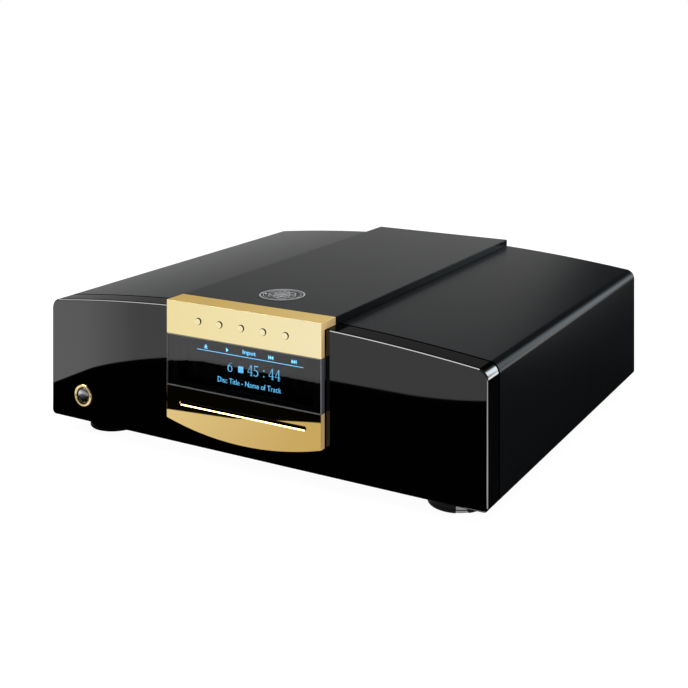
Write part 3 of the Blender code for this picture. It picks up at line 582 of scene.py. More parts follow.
# painted light: the slot plate's gold runs from paler on the left to darker and deeper on the right
PLATE_GOLD = gold("plate_gold", 0.022, (0.86, 0.63, 0.265), (0.80, 0.53, 0.148))
GLASS = finish("smoked_glass", (0.30, 0.31, 0.33), 0.012, grain=9.0, tone=0.02, gloss=0.0, IOR=1.5,
               Transmission_Weight=1.0)
ZINC = zinc()
BLACK_PLASTIC = finish("black_moulding", (0.012, 0.012, 0.013), 0.42, grain=2200.0, tone=0.25, bump=0.004)
SLOT_FINISH = {
    "gloss_black": LACQUER,
    "satin_black": SATIN,
    "gold": GOLD,
    "smoked_glass": GLASS,
    "silver": brushed("turned_silver", (0.62, 0.63, 0.64), 0.24),
    "zinc_steel": ZINC,
    "black_plastic": BLACK_PLASTIC,
    "white_plastic": finish("acetal", (0.68, 0.68, 0.63), 0.42, tone=0.03, bump=0.002),
    "rubber": finish("rubber", (0.012, 0.012, 0.012), 0.8, grain=1800.0, tone=0.3, bump=0.01),
    "felt": finish("felt", (0.006, 0.006, 0.006), 0.95, grain=5000.0, tone=0.6, bump=0.05, Sheen_Weight=0.15),
    "circuit_board": circuit_board(),
    "copper_winding": copper_winding(),
}


# ---- enclosure

def front_panel():
    """The lacquered slab, with a chamfer round its face. Its top has painted shade in a lacquer that hardly
    reflects, its chamfer a painted highlight in a lacquer that reflects more, and its seams, underside and
    opening walls painted shade.
    """
    run = PANEL_CHAMFER + 1.0
    front = soften([(run, 0.0), (PANEL_CHAMFER, 0.0), (0.0, PANEL_CHAMFER), (0.0, run)], 0.5, 5)
    profile = front[1:-1] + [(0.0, PANEL_SEAM)] + back_edge(PANEL_BACK, 0.25)
    square = [(0.0, 0.0), (0.0, PANEL_BACK)]
    holes = [(rectangle(-half, low, half, high, 2.0), square) for half, low, high in OPENINGS]
    holes.append((circle(*centre("power_bezel"), 9.25, 64), edged(0.0, PANEL_BACK, 0.25, 0.25)))
    shell = make("panel_shell", plate("y", body_path(), profile, holes), "front_panel", LACQUER)
    deep = (0.0003, 0.0003, 0.0004)
    upper = CROWN / 2

    def on_top(spot, normal):
        return normal.z > 0.85 and spot.z > upper and spot.y > PANEL_CHAMFER

    def on_chamfer(spot, normal):
        at_side = abs(spot.x) > HALF - 15.0
        return -0.95 < normal.y < -0.3 and spot.y < PANEL_CHAMFER and (at_side or spot.z > upper)

    def in_shadow(spot, normal):
        seam = normal.z > 0.93 and spot.z > upper and PANEL_CHAMFER - 0.1 < spot.y < PANEL_SEAM
        under = normal.z < -0.4 and spot.z < BOTTOM_RADIUS and spot.y < 2.5
        near = [abs(spot.x) < half + 0.1 and low - 0.1 < spot.z < high + 0.1 for half, low, high in OPENINGS]
        return seam or under or (any(near) and 0.5 < spot.y < PANEL_BACK - 0.5)

    # painted shade: the top behind the chamfer takes a copy of the lacquer that hardly reflects
    dress_faces(shell, lacquer("lacquer_top_painted_shade", deep, 0.05, 1.06), on_top)
    # painted highlight: the chamfer takes a copy of the lacquer that reflects more than the face
    dress_faces(shell, lacquer("lacquer_chamfer_painted_highlight", deep, 0.03, 1.6), on_chamfer)
    dress_faces(shell, SHADOW, in_shadow)


def main_cover():
    """The arched sheet, stepped round its front edge, with the bosses that take its rear screws."""
    step = COVER_FRONT + REBATE
    profile = [(REBATE, COVER_FRONT), (REBATE, step), (0.1, step), (0.0, step + 0.1)]
    sheet = plate("y", cover_section(), profile + back_edge(COVER_REAR, 0.5))
    inner = HALF - COVER_THICK / 2
    boss_front = 382.0
    steps = []
    for node in SCREWS:
        x, z = centre(node)
        sides = tuple(sorted((x - math.copysign(6.0, x), math.copysign(inner, x))))
        hole = [(SCREW_HOLE, boss_front + 2.0), (SCREW_HOLE, REAR_IN + 1.0)]
        steps.append(("UNION", block(sides, (boss_front, REAR_IN - GAP), (z - 5.0, z + 5.0))))
        steps.append(("DIFFERENCE", turned("y", (x, z), hole, 24)))
    shell = make("cover_shell", combine(sheet, *steps), "main_cover", SATIN)
    dress_faces(shell, SHADOW, lambda spot, normal: spot.y < step + 0.08)


def spine_cover():
    """The raised flat strip, with a well for the badge."""
    sheet = plate("y", spine_section(SPINE_HALF, 0.6), edged(SPINE_FRONT, SPINE_REAR, 0.35, 0.6))
    radius = BADGE_RADIUS + GAP
    well = turned("z", centre("badge", "xy"), [(radius, SPINE_TOP - 1.3), (radius, SPINE_TOP + 1.0)], 96)
    make("spine_shell", combine(sheet, ("DIFFERENCE", well)), "spine_cover", SATIN)


def badge():
    """A dished disc with two bright rims and a rosette of seven crossing rings."""
    around = centre("badge", "xy")
    low, rim = span("badge", "z")
    dish = rim - 0.5
    base = [(BADGE_RADIUS, low), (BADGE_RADIUS, rim), (21.3, rim), (21.1, dish)]
    base += [(19.4, dish), (19.2, dish - 0.1)]
    ground = finish("badge_ground", (0.012, 0.012, 0.013), 0.25, grain=(40.0, 1600.0, 900.0), tone=0.2,
                    bump=0.001, IOR=1.15)
    make("badge_disc", turned("z", around, base, 128, soft=0.1), "badge", ground)

    def ring(spot, inner, outer, top, segments):
        profile = [(inner, dish - 0.3), (outer, dish - 0.3), (outer - 0.08, top), (inner + 0.08, top)]
        return turned("z", spot, profile, segments, hollow=True)

    lower = rim - 0.05
    petals = [("UNION", ring(spot, 6.2, 7.0, lower, 64)) for spot in circle(*around, 6.6, 6)]
    rosette = combine(ring(around, 6.2, 7.0, lower, 64), *petals)
    rims = ring(around, 19.4, 20.9, rim, 96), ring(around, 16.8, 17.5, lower, 96)
    bright = finish("badge_bright", (0.74, 0.75, 0.76), 0.16, 1.0, tone=0.05)
    make("badge_rings", group(*rims, rosette), "badge", bright, replaces=False)


def rear_panel():
    """The back plate, with a hole for each socket and screw."""
    square = [(0.0, REAR_IN), (0.0, REAR_OUT)]
    broken = edged(REAR_IN, REAR_OUT, 0.1, 0.2)
    holes = [(circle(*centre(node), 4.5), broken) for node in ("rca_left", "rca_right", "coax_output")]
    holes += [(circle(*centre(node), 12.3), broken) for node in ("xlr_left", "xlr_right")]
    holes += [(circle(*centre(node), SCREW_HOLE, 24), broken) for node in SCREWS]
    x, z = centre("usb_input")
    holes.append((rectangle(x - 6.4, z - 5.7, x + 6.4, z + 5.7), square))
    x, (low, high) = centre("mains_inlet")[0], span("mains_inlet", "z")
    holes.append((rectangle(x - 13.8, low + 2.2, x + 13.8, high - 2.2), square))
    make("rear_plate", plate("y", body_path(INSIDE), broken, holes), "rear_panel", SATIN)


def cover_screws():
    """Button-headed screws with a hexagonal socket."""
    dark = brushed("screw_steel", (0.20, 0.20, 0.21), 0.3)
    for node in SCREWS:
        start, end = span(node, "y")
        profile = [(1.5, start), (1.5, SEAT), (2.9, SEAT), (2.9, SEAT + 0.7), (2.4, end), (1.4, end)]
        socket = turned("y", centre(node), [(1.1, SEAT + 0.6), (1.1, SEAT + 3.0)], 6)
        screw = turned("y", centre(node), profile, 48, soft=0.35)
        make(node.removeprefix("cover_"), combine(screw, ("DIFFERENCE", socket)), node, dark)


def feet():
    """Turned gloss feet with a fine groove above a soft pad."""
    for row in ("front", "rear"):
        for side in ("left", "right"):
            node = f"foot_{row}_{side}"
            around = centre(node, "xy")
            radius = span(node, "x")[1] - around[0]
            low, high = span(node, "z")
            shoulder = -GAP
            profile = [(radius - 3.0, low), (radius - 0.7, low), (radius, low + 0.7), (radius, low + 2.6),
                       (radius - 0.5, low + 3.0), (radius, low + 3.4), (radius, shoulder - 0.7),
                       (radius - 0.7, shoulder), (18.0, shoulder), (18.0, high - 0.5), (17.5, high)]
            make(f"{row}_{side}_foot", turned("z", around, profile, 96, soft=0.3), node, LACQUER)


# ---- trim column

def on_trim_side(spot, normal):
    return abs(normal.x) > 0.8 and abs(spot.x) > TRIM_HALF - 1.0


def button_bar():
    """The gold bar, and the flange that runs back from its top over the front panel."""
    outline = rectangle(-TRIM_HALF, BAR_LOW, TRIM_HALF, BAR_TOP)
    wall = [(0.3, TRIM_FRONT), (0.15, TRIM_FRONT + 0.06), (0.0, TRIM_FRONT + 0.3), (0.0, TRIM_BACK)]
    bores = [centre(f"button_{name}") for name in BUTTON_NAMES]
    holes = [(circle(*bore, BUTTON_HOLE, 64), wall) for bore in bores]
    bar = plate("y", outline, edged(TRIM_FRONT, TRIM_BACK, 0.25, 0.2), holes)
    flange = plate("y", spine_section(TRIM_HALF, 0.3), edged(TRIM_BACK - 1.0, FLANGE_REAR, 0.01, 0.3))
    shell = make("gold_bar", combine(bar, ("UNION", flange)), "button_bar", BAR_GOLD)

    def in_bore(spot, normal):
        reach = min(math.dist((spot.x, spot.z), bore) for bore in bores)
        return abs(normal.y) < 0.97 and reach < BUTTON_HOLE + 0.35

    dress_faces(shell, SIDE_GOLD, on_trim_side)
    # painted shade: the walls of the button bores are dark brown
    dress_faces(shell, finish("bore_painted_shade", (0.045, 0.028, 0.010), 0.5, tone=0.1), in_bore)


def display_window():
    """A dark glass slab with ground sides, and a ground arris round its face that is paler than the sides as
    a painted highlight line.
    """
    low, high = span("display_window", "z")
    slab = plate("y", rectangle(-TRIM_HALF, low, TRIM_HALF, high), edged(TRIM_FRONT, TRIM_BACK, 0.45, 0.3))
    glass = make("window_glass", slab, "display_window", GLASS)
    side = finish("ground_side", (0.055, 0.06, 0.07), 0.55, grain=2400.0, tone=0.15, bump=0.002)
    dress_faces(glass, side, lambda spot, normal: abs(normal.y) < 0.1)
    # painted highlight: the front arris is a paler copy of the ground glass
    arris = finish("ground_arris_painted_highlight", (0.20, 0.205, 0.21), 0.6, grain=2400.0, tone=0.15, bump=0.002)
    dress_faces(glass, arris, lambda spot, normal: -0.98 < normal.y <= -0.1)
    dress_faces(glass, SHADOW, lambda spot, normal: 0.1 <= normal.y < 0.98)


def slot_plate():
    """The lower gold plate, whose slot has a bevelled mouth."""
    through = stadium(0.0, SLOT_Z, SLOT_LENGTH - 1.1, SLOT_HEIGHT)
    mouth = stadium(0.0, SLOT_Z - 0.25, SLOT_LENGTH, SLOT_HEIGHT + 0.9)
    sections = [(mouth, TRIM_FRONT - 1.0), (mouth, TRIM_FRONT)]
    sections += [(through, TRIM_FRONT + 0.8), (through, TRIM_BACK + 1.0)]
    face = plate("y", slot_plate_outline(), edged(TRIM_FRONT, TRIM_BACK, 0.2, 0.2))
    cut = combine(face, ("DIFFERENCE", lofted("y", sections)))
    shell = make("gold_slot_plate", cut, "slot_plate", PLATE_GOLD, sharp=25)
    # painted shade: the plate's top bevel takes the black lacquer instead of gold, so the joint under the
    # window shows a thin grey reflection
    dress_faces(shell, LACQUER, lambda spot, normal: normal.z > 0.1 and spot.z > PLATE_TOP - 0.25)
    dress_faces(shell, SIDE_GOLD, on_trim_side)


def buttons():
    """Polished caps with a crowned face, a collar behind the bar, and a stem."""
    collar = TRIM_BACK + GAP
    for name in BUTTON_NAMES:
        node = f"button_{name}"
        front, rear = span(node, "y")
        crown = [(CAP_RADIUS * 0.6, front), (CAP_RADIUS - 0.25, front + 0.01), (CAP_RADIUS, front + 0.22)]
        profile = crown + [(CAP_RADIUS, collar), (4.4, collar), (4.4, 0.2), (1.5, 0.2), (1.5, rear)]
        shell = make(f"{name}_cap", turned("y", centre(node), profile, 64, soft=0.12), node, CAP_GOLD)
        dress_faces(shell, SHADOW, lambda spot, normal: abs(normal.y) < 0.9 and spot.y < collar + 0.3)


def power_control():
    """The ring in the front panel and the domed button in it."""
    around = centre("power_bezel")
    front, rear = span("power_bezel", "y")
    ring = [(7.75, front + 0.5), (8.3, front + 0.05), (9.1, front), (9.8, front + 0.1), (10.3, front + 0.6),
            (10.3, -GAP), (8.95, -GAP), (8.95, rear), (7.75, rear)]
    make("power_ring", turned("y", around, ring, 96, hollow=True, soft=0.3), "power_bezel", RING_GOLD)
    front, rear = span("power_button", "y")
    radius, rise, skirt = 6.75, 1.9, 8.0
    angles = [math.radians(9 * i) for i in range(1, 11)]
    dome = [(radius * math.sin(a), front + rise * (1 - math.cos(a))) for a in angles]
    profile = dome + [(radius, skirt), (3.0, skirt), (3.0, rear)]
    metal = finish("dark_chrome", (0.36, 0.36, 0.37), 0.26, 1.0, grain=1200.0, tone=0.3, bump=0.01)
    make("power_dome", turned("y", around, profile, 96, soft=0.05), "power_button", metal)


# ---- display

SCREEN_Y = 7.4  # face of the lit panel, set back in its housing
MARK_THICK = 0.05


def display_housing():
    """A frame round the recessed panel, and the board behind it."""
    left, right = span("display_module", "x")
    front, rear = span("display_module", "y")
    low, high = span("display_module", "z")
    body = block((left + 1.0, right - 1.0), (front, rear - 1.0), (low + 0.1, high - 1.0), 0.3)
    well = block((-66.0, 66.0), (front - 2.0, SCREEN_Y + GAP), (low - 1.0, 93.2))
    board = block((left, right), (rear - 1.6, rear), (low, high), 0.2)
    housing = combine(body, ("DIFFERENCE", well), ("UNION", board))
    make("display_housing", housing, "display_module", BLACK_PLASTIC)
    panel = block((-65.7, 65.7), (SCREEN_Y, SCREEN_Y + GAP - 0.02), (59.6, 92.9), 0.1)
    ground = finish("display_ground", (0.001, 0.0015, 0.002), 0.25, grain=4000.0, tone=0.4)
    make("display_panel", panel, "display_module", ground, replaces=False)


def flat_marks(shapes):
    """Thin raised shapes on the lit panel."""
    wall = [(0.0, SCREEN_Y - 2 * MARK_THICK), (0.0, SCREEN_Y - MARK_THICK)]
    return group(*[plate("y", outline, wall) for outline in shapes])


def stroke(points, widths):
    """The outline of a pen stroke along points, with its own width at each."""
    left, right = [], []
    for i, spot in enumerate(points):
        before, after = Vector(points[max(i - 1, 0)]), Vector(points[min(i + 1, len(points) - 1)])
        along = (after - before).normalized()
        side = Vector((-along.y, along.x)) * widths[i] / 2
        left.append(tuple(Vector(spot) + side))
        right.append(tuple(Vector(spot) - side))
    return left + right[::-1]


def shifted(shapes, x, z):
    return [[(a + x, b + z) for a, b in outline] for outline in shapes]


def swelling(points, thin, thick, reach=0.5):
    """A stroke that swells from thin to thick about a share of its length, and back."""
    shares = [i / (len(points) - 1) / (2 * reach) for i in range(len(points))]
    return [thin + (thick - thin) * math.sin(math.pi * min(1.0, share)) for share in shares]


def four(x, z):
    """Serif numeral: a thin slope and bar, and a heavy stem on a foot."""
    slope = stroke([(0.2, 2.9), (3.7, 9.1)], [0.4, 0.4])
    bar, foot = rectangle(0.1, 2.4, 5.5, 2.85), rectangle(2.6, 0.0, 5.2, 0.35)
    return shifted([slope, bar, rectangle(3.5, 0.2, 4.3, 9.3), foot], x, z)


def five(x, z):
    """Serif numeral: a flag, a thin stem, and a bowl that ends in a ball."""
    bowl = arc(1.9, 2.85, 2.5, 118, -128, 22)
    flag, stem = rectangle(1.2, 8.5, 4.7, 9.3), rectangle(0.85, 4.7, 1.25, 9.3)
    return shifted([flag, stem, stroke(bowl, swelling(bowl, 0.3, 0.95)), circle(0.55, 1.0, 0.5, 16)], x, z)


def six(x, z):
    """Serif numeral: an upright bowl under one long curved stroke."""
    angles = [math.radians(15 * i) for i in range(25)]
    bowl = [(2.85 + 2.1 * math.cos(a), 2.9 + 2.6 * math.sin(a)) for a in angles]
    widths = [0.35 + 0.55 * abs(math.cos(a)) for a in angles]
    tail = arc(6.9, 2.3, 6.4, 182, 107, 14)
    return shifted([stroke(bowl, widths), stroke(tail, swelling(tail, 0.3, 0.85, 0.3))], x, z)


def lettering(text, x, z, width, height):
    """Small words in the built-in face, fitted to a width and a height."""
    curve = bpy.data.curves.new("lettering", "FONT")
    curve.body = text
    curve.resolution_u = 3
    curve.offset = -0.016
    obj = linked("lettering", curve)
    drawn = bpy.data.meshes.new_from_object(obj.evaluated_get(bpy.context.evaluated_depsgraph_get()))
    mesh = bmesh.new()
    mesh.from_mesh(drawn)
    bpy.data.curves.remove(curve)
    bpy.data.meshes.remove(drawn)
    xs, ys = [v.co.x for v in mesh.verts], [v.co.y for v in mesh.verts]
    for vertex in mesh.verts:
        across = (vertex.co.x - min(xs)) / (max(xs) - min(xs)) - 0.5
        up = (vertex.co.y - min(ys)) / (max(ys) - min(ys)) - 0.5
        vertex.co = (x + across * width, SCREEN_Y - 2 * MARK_THICK, z + up * height)
    grown = bmesh.ops.extrude_face_region(mesh, geom=list(mesh.faces))["geom"]
    moved = [item for item in grown if isinstance(item, bmesh.types.BMVert)]
    bmesh.ops.translate(mesh, vec=(0.0, MARK_THICK, 0.0), verts=moved)
    bmesh.ops.recalc_face_normals(mesh, faces=mesh.faces)
    return mesh


def icons():
    """Eject, play, previous and next over one long rule, with the middle left for the input label."""
    z, pitch = 88.7, 23.0
    eject = [[(-1.7, -0.6), (1.7, -0.6), (0.0, 1.8)], rectangle(-1.7, -1.9, 1.7, -1.2)]
    play = [[(-1.1, -1.9), (1.5, 0.0), (-1.1, 1.9)]]
    shapes = shifted(eject, -2 * pitch, z) + shifted(play, -pitch, z)
    for x, way in ((pitch, -1), (2 * pitch, 1)):
        skip = [[(start, -1.8), (start + way * 2.2, 0.0), (start, 1.8)] for start in (way * -2.3, 0.0)]
        skip.append(rectangle(way * 2.5 - 0.3, -1.8, way * 2.5 + 0.3, 1.8))
        shapes += shifted(skip, x, z)
    return shapes + [rectangle(-55.5, 84.95, 55.5, 85.35)]


def clock():
    """The track, a square, and the time."""
    low = 70.0
    shapes = six(-22.8, low) + [rectangle(-11.2, low + 0.9, -5.8, low + 6.5)]
    shapes += four(-1.4, low) + five(5.0, low)
    shapes += [circle(15.6, z, 0.65, 16) for z in (low + 1.3, low + 6.3)]
    return shapes + four(20.5, low) + four(27.0, low)


def display_marks():
    """What the display shows, each line as bright as it has to be for its size."""
    soft = glow("display_light_soft", 6.5)
    for name, mesh, light in (
            ("icons", flat_marks(icons()), soft),
            ("label", lettering("Input", 0.4, 89.0, 13.4, 4.8), glow("display_light_label", 10.0)),
            ("time", flat_marks(clock()), glow("display_light", 3.6)),
            ("titles", lettering("Disc Title - Name of Track", 0.1, 62.0, 66.0, 4.6), soft)):
        make(f"display_{name}", mesh, "display_module", light, replaces=False)


# ---- rear connectors

def phono_sockets():
    """Gold flange, nut and barrel, with a coloured insulating ring in the mouth."""
    white, red, orange = (0.75, 0.75, 0.72), (0.62, 0.02, 0.02), (0.75, 0.33, 0.02)
    colours = {"rca_left": white, "rca_right": red, "coax_output": orange}
    for node, colour in colours.items():
        start, end = span(node, "y")
        inside = [(1.2, start), (1.2, 386.0), (4.1, 386.0), (4.1, SEAT)]
        nut = [(6.5, SEAT), (6.5, SEAT + 1.5), (4.6, SEAT + 1.6), (4.15, SEAT + 2.2)]
        barrel = [(4.15, end), (3.4, end), (3.3, SEAT + 2.4), (1.6, SEAT + 2.2)]
        shell = turned("y", centre(node), inside + nut + barrel, 64, soft=0.2)
        make(f"{node}_shell", shell, node, GOLD)
        sleeve = [(1.75, SEAT + 2.6), (3.2, SEAT + 2.6), (3.2, end - 0.5), (1.75, end - 0.5)]
        insert = turned("y", centre(node), sleeve, 48, hollow=True, soft=0.2)
        plastic = finish(f"{node}_ring", colour, 0.35, tone=0.05)
        make(f"{node}_insert", insert, node, plastic, replaces=False)


def balanced_sockets():
    """Dark flange with two countersunk screw holes, a bright recessed shell and three gold pins."""
    for node in ("xlr_left", "xlr_right"):
        x, z = centre(node)
        start = span(node, "y")[0]
        flange = plate("y", rectangle(x - 13.0, z - 15.5, x + 13.0, z + 15.5, 3.0), edged(SEAT, SEAT + 1.8))
        body = turned("y", (x, z), [(11.9, start), (11.9, SEAT + 1.0)], 64)
        well = turned("y", (x, z), [(9.0, 384.0), (9.0, SEAT + 1.5), (9.5, SEAT + 3.0)], 64)
        sink = [(1.6, SEAT + 0.9), (1.9, SEAT + 3.0)]
        holes = [turned("y", (x + a, z + b), sink, 24) for a, b in ((-9.6, 12.1), (9.6, -12.1))]
        shell = combine(flange, ("UNION", body), ("DIFFERENCE", well), ("DIFFERENCE", group(*holes)))
        make(f"{node}_shell", shell, node, ZINC)
        pin = [(1.2, 383.6), (1.2, 393.2), (0.7, 394.0)]
        spots = ((x - 3.6, z + 2.0), (x + 3.6, z + 2.0), (x, z - 4.2))
        pins = [turned("y", spot, pin, 24, soft=0.3) for spot in spots]
        make(f"{node}_pins", group(*pins), node, GOLD, replaces=False)


# ---- carried-over nodes

def dress_node(node, obj):
    """Gives a CAD node its slot's finish and breaks its edges."""
    obj.data.materials.clear()
    obj.data.materials.append(SLOT_FINISH[SLOT_OF[node]])
    weld = obj.modifiers.new("weld", "WELD")
    weld.merge_threshold = 0.00001
    bevel = obj.modifiers.new("edges", "BEVEL")
    bevel.width = 0.2 * MM
    bevel.segments = 2
    bevel.limit_method = "ANGLE"
    bevel.angle_limit = math.radians(50)
    weigh_normals(obj)


# ---- studio

DEGREES = 180 / math.pi
WARM = (1.0, 0.95, 0.85)
CAMERA = Vector((0.5726, -1.023065, 0.39889))
CAMERA_TURN = 29.918  # degrees to the left of straight on
EYE = (CAMERA - ORIGIN) / MM
JUST_ABOVE = 0.0006  # height of a lamp that lies on the floor, in metres
FLOOR_LEVEL = 1.12
ROOM_FILL = 0.8  # what matt surfaces get from the room


def ground_place(graph):
    """Where a point of the floor is, in the body's millimetres."""
    x, y, _ = graph.parts(graph.add("NewGeometry").outputs["Position"])
    return x * (1 / MM), (y - ORIGIN.y) * (1 / MM)


def dark_card(x, y):
    """One on a card that lies from under the panel to 257 mm in front of it, with round corners.

    Its front edge bows, and so does its back edge once it is past the body.
    """
    left, right, back, front, corner = -322.0, 430.0, 60.0, -257.0, 100.0
    bow = (x - 20.0).at_least(0.0) ** 2.0 * 0.003
    over_x = abs(x - (left + right) / 2) - ((right - left) / 2 - corner)
    over_front = (front + corner) - (y + bow)
    over_back = y + bow * x.ramp(HALF, HALF + 45.0) - (back - corner)
    over_y = over_front.at_least(over_back)
    past_x, past_y = [over.at_least(0.0) ** 1.6 for over in (over_x, over_y)]
    edge = (past_x + past_y) ** (1 / 1.6) - corner
    return edge.ramp(-0.8, 0.8, 1.0, 0.0)


def floor_glow(graph):
    """How bright the floor looks in a polished surface."""
    x, y = ground_place(graph)
    # the open floor, by its bearing from where the panel mirrors the camera
    bearing = (x - EYE.x) / (y + EYE.y)
    level = bearing.ramp(0.60, 0.83, 1.0, 1.12) + bearing.ramp(0.838, 0.918, 0.0, 0.88)
    # it is almost dark along the body's right side
    beside = x.ramp(196.0, 210.0) * y.ramp(-40.0, 0.0)
    level = level * beside.ramp(0.0, 1.0, 1.0, 0.012)
    level = level * dark_card(x, y).ramp(0.0, 1.0, 1.0, 0.002)
    # a bright strip to the right and in front, which the panel's right edge catches
    along = x * 0.51 + y * 0.86
    strip = along.ramp(20.0, 80.0) * along.ramp(200.0, 160.0)
    strip = strip * x.ramp(246.0, 254.0) * y.ramp(-3.0, -8.0)
    level = level + strip * 4.6
    # far behind, where only the rounded shoulder looks, it is lit, by its bearing from where the right side
    # mirrors the camera
    side_x, side_y = x - (2 * HALF - EYE.x), y - EYE.y
    turn = graph.math("ARCTAN2", side_x, side_y) * DEGREES
    beyond = (side_x ** 2.0 + side_y ** 2.0) ** 0.5 - turn.ramp(15.8, 22.8, 1925.0, 1380.0)
    lit = beyond.ramp(0.0, 100.0) * turn.ramp(28.0, 26.0)
    level = level + lit * turn.ramp(17.0, 22.5, 0.0, 6.0)
    # under the right front foot it is dim, with one bright wedge
    foot_x, foot_y = centre("foot_front_right", "xy")
    under = x.ramp(120.0, 124.0) * x.ramp(HALF - 1.0, HALF - 3.0) * y.ramp(-16.0, -14.0)
    turn = graph.math("ARCTAN2", x - foot_x, foot_y - y) * DEGREES
    wedge = turn.ramp(20.0, 21.0) * turn.ramp(47.0, 45.0)
    return level * (1.0 - under) + under * wedge.ramp(0.0, 1.0, 0.2, 6.0)


def floor():
    """A wide pale floor. Polished surfaces see it as a lit studio table with a dark card on it."""
    mesh = bmesh.new()
    rings = [ring_of(mesh, "z", circle(0.0, 0.0, radius, 96), 0.0) for radius in (1.0, 2.0, 4.0, 9.0)]
    skin(mesh, rings)
    cap(mesh, [rings[0]])
    bmesh.ops.recalc_face_normals(mesh, faces=mesh.faces)
    obj = linked("floor", baked("floor", mesh))
    material = bpy.data.materials.new("floor_white")
    material.use_nodes = True
    material.cycles.emission_sampling = "NONE"
    surface = Surface(material)
    surface.set("Base Color", (0.93, 0.93, 0.93, 1.0))
    surface.set("Roughness", 0.9)
    surface.set("Specular IOR Level", 0.0)
    rays = surface.add("LightPath").outputs

    def glowing(level):
        return surface.add("Emission", ("Strength", level)).outputs[0]

    def mixed(share, first, second):
        return surface.add("MixShader", (0, share), (1, first), (2, second)).outputs[0]

    matt = surface.shader.outputs[0]
    seen = mixed(rays["Is Camera Ray"], matt, mixed(0.85, matt, glowing(FLOOR_LEVEL)))
    whole = mixed(rays["Is Glossy Ray"], seen, glowing(floor_glow(surface)))
    surface.feed(material.node_tree.nodes["Material Output"].inputs["Surface"], whole)
    obj.data.materials.append(material)


def world():
    """White to the eye. Polished surfaces see a dim room with a softbox behind and a long one overhead."""
    studio = bpy.data.worlds.new("studio")
    bpy.context.scene.world = studio
    studio.use_nodes = True
    studio.cycles.sampling_method = "NONE"
    graph = Graph(studio.node_tree)
    way_x, way_y, way_z = graph.parts(graph.add("TexCoord").outputs["Generated"])
    bearing = graph.math("ARCTAN2", way_x, way_y) * DEGREES
    height = graph.math("ARCSINE", way_z) * DEGREES
    # the walls, paler towards the horizon, and dark behind on the right and above the front horizon
    room = height.ramp(4.0, 9.0, 0.78, 0.54) * bearing.ramp(-36.0, -20.0, 0.92, 1.2)
    dark = bearing.within(-16.6, 60.0, 1.5) * height.ramp(55.0, 40.0)
    room = room * dark.ramp(0.0, 1.0, 1.0, 0.10)
    room = room * way_y.ramp(-0.1, 0.25, height.ramp(6.0, 14.0, 0.85, 0.25), 1.0)
    # the softbox behind, brighter towards its right
    box = bearing.within(10.0, 28.0, 1.0) * height.within(-1.0, 26.0, 1.5)
    room = room + box * bearing.ramp(16.0, 22.5, 0.2, 8.0)
    # the long overhead softbox, by its slopes to the side and to the back
    up = way_z.at_least(0.02)
    aside, back = way_x / up, way_y / up
    long_box = aside.within(-1.35, -0.12, 0.03) * back.within(-0.55, -0.10, 0.03)
    room = room + long_box * aside.ramp(-1.2, -0.5, 5.5, 10.5)
    rays = graph.add("LightPath").outputs
    glossy, direct = Value(graph, rays["Is Glossy Ray"]), Value(graph, rays["Is Camera Ray"])
    level = glossy * (room - ROOM_FILL) + ROOM_FILL
    level = direct * (1.0 - level) + level
    background = studio.node_tree.nodes["Background"]
    graph.feed(background.inputs["Strength"], level)
    graph.feed(background.inputs["Color"], graph.mix(box * glossy, WHITE, (0.86, 0.97, 1.04, 1.0)))


def softbox(name, place, target, size, radiance, colour=WHITE[:3], reaches=()):
    """A rectangular lamp aimed at a point, in metres. If it reaches certain pieces, it lights no others."""
    lamp = bpy.data.lights.new(name, "AREA")
    lamp.shape = "RECTANGLE"
    lamp.size, lamp.size_y = size
    lamp.energy = radiance * math.pi * size[0] * size[1]
    lamp.color = colour
    obj = linked(name, lamp)
    obj.location = place
    obj.rotation_euler = (Vector(place) - Vector(target)).to_track_quat("Z", "Y").to_euler()
    obj.visible_camera = False
    if reaches:
        pieces = bpy.data.collections.new(f"{name}_receivers")
        for piece in reaches:
            pieces.objects.link(bpy.data.objects[piece])
        obj.light_linking.receiver_collection = pieces
    return obj


def lit_floor(name, x, y, size, reaches):
    """A lamp that lies on the floor and shines up. Its place is in the body's millimetres."""
    place = Vector((x * MM, ORIGIN.y + y * MM, JUST_ABOVE))
    lamp = softbox(name, place, place + Vector((0.0, 0.0, 1.0)), size, 1.0, reaches=reaches)
    lamp.rotation_euler = (math.pi, 0.0, 0.0)
    return lamp


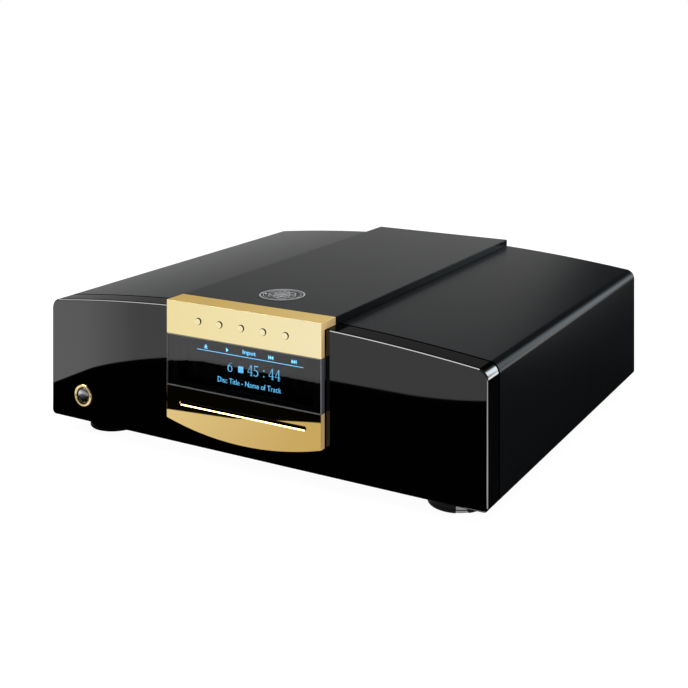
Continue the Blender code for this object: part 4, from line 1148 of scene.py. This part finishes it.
def bend_far_edge(lamp):
    """Bends the far edge of the lamp on the floor, and dims the lamp towards the right."""
    bend_x, edge_y = -88.0, -120.0
    lamp.data.use_nodes = True
    graph = Graph(lamp.data.node_tree)
    x, y = ground_place(graph)
    x = x - bend_x
    bend = x.at_most(0.0) * -0.137 + x.at_least(0.0) * -0.42
    inside = (y - bend).ramp(edge_y - 1.0, edge_y + 1.0)
    level = inside * x.ramp(-70.0, 80.0, 0.87, 0.72)
    graph.feed(lamp.data.node_tree.nodes["Emission"].inputs["Strength"], level)


def lights():
    """An overhead key for matt surfaces, and lamps that only the trim is near enough to mirror."""
    top = Vector((0.0, 0.0, 0.1))
    softbox("overhead", top + Vector((-0.72, -0.33, 1.2)), top, (0.8, 0.8), 9.0).visible_glossy = False
    trim = ("gold_bar", "gold_slot_plate", "window_glass")
    softbox("low_back", (-0.78, 1.30, 0.50), top, (1.3, 0.5), 0.21, (1.0, 0.74, 0.36), trim)
    softbox("right", (0.95, -0.15, 0.30), top, (0.5, 0.5), 3.0, WARM, trim)
    softbox("right_low", (0.95, -0.15, 0.20), top, (0.5, 0.4), 2.0, WARM, ("gold_slot_plate",))
    bend_far_edge(lit_floor("lit_floor", -100.0, -88.0, (0.50, 0.17), ("gold_slot_plate", "power_ring")))
    # the bar and its buttons see a pale floor where the card lies
    bar = ("gold_bar", *[f"{button}_cap" for button in BUTTON_NAMES])
    lit_floor("bar_floor", 50.0, -95.0, (0.74, 0.30), bar)


def camera():
    """A level camera with its lens shifted down, as on a bench with a view camera."""
    data = bpy.data.cameras.new("camera")
    obj = linked("camera", data)
    bpy.context.scene.camera = obj
    obj.location = CAMERA
    obj.rotation_euler = (math.radians(90), 0.0, math.radians(CAMERA_TURN))
    data.lens = 60.72
    # the shift belongs to the level camera only, so a tilted view of the object stays centred
    driver = data.driver_add("shift_y").driver
    tilt = driver.variables.new()
    tilt.name = "tilt"
    tilt.type = "TRANSFORMS"
    tilt.targets[0].id = obj
    tilt.targets[0].transform_type = "ROT_X"
    tilt.targets[0].transform_space = "WORLD_SPACE"
    driver.expression = "-0.4827 if tilt > 1.56 else 0.0"


def build():
    for maker in (front_panel, main_cover, spine_cover, badge, rear_panel, cover_screws, feet, button_bar,
                  display_window, slot_plate, buttons, power_control, display_housing, display_marks,
                  phono_sockets, balanced_sockets, floor, world, lights, camera):
        maker()
    for node, obj in frame["nodes"].items():
        if not obj.hide_render:
            dress_node(node, obj)
    bpy.context.scene.view_settings.view_transform = "Standard"


build()
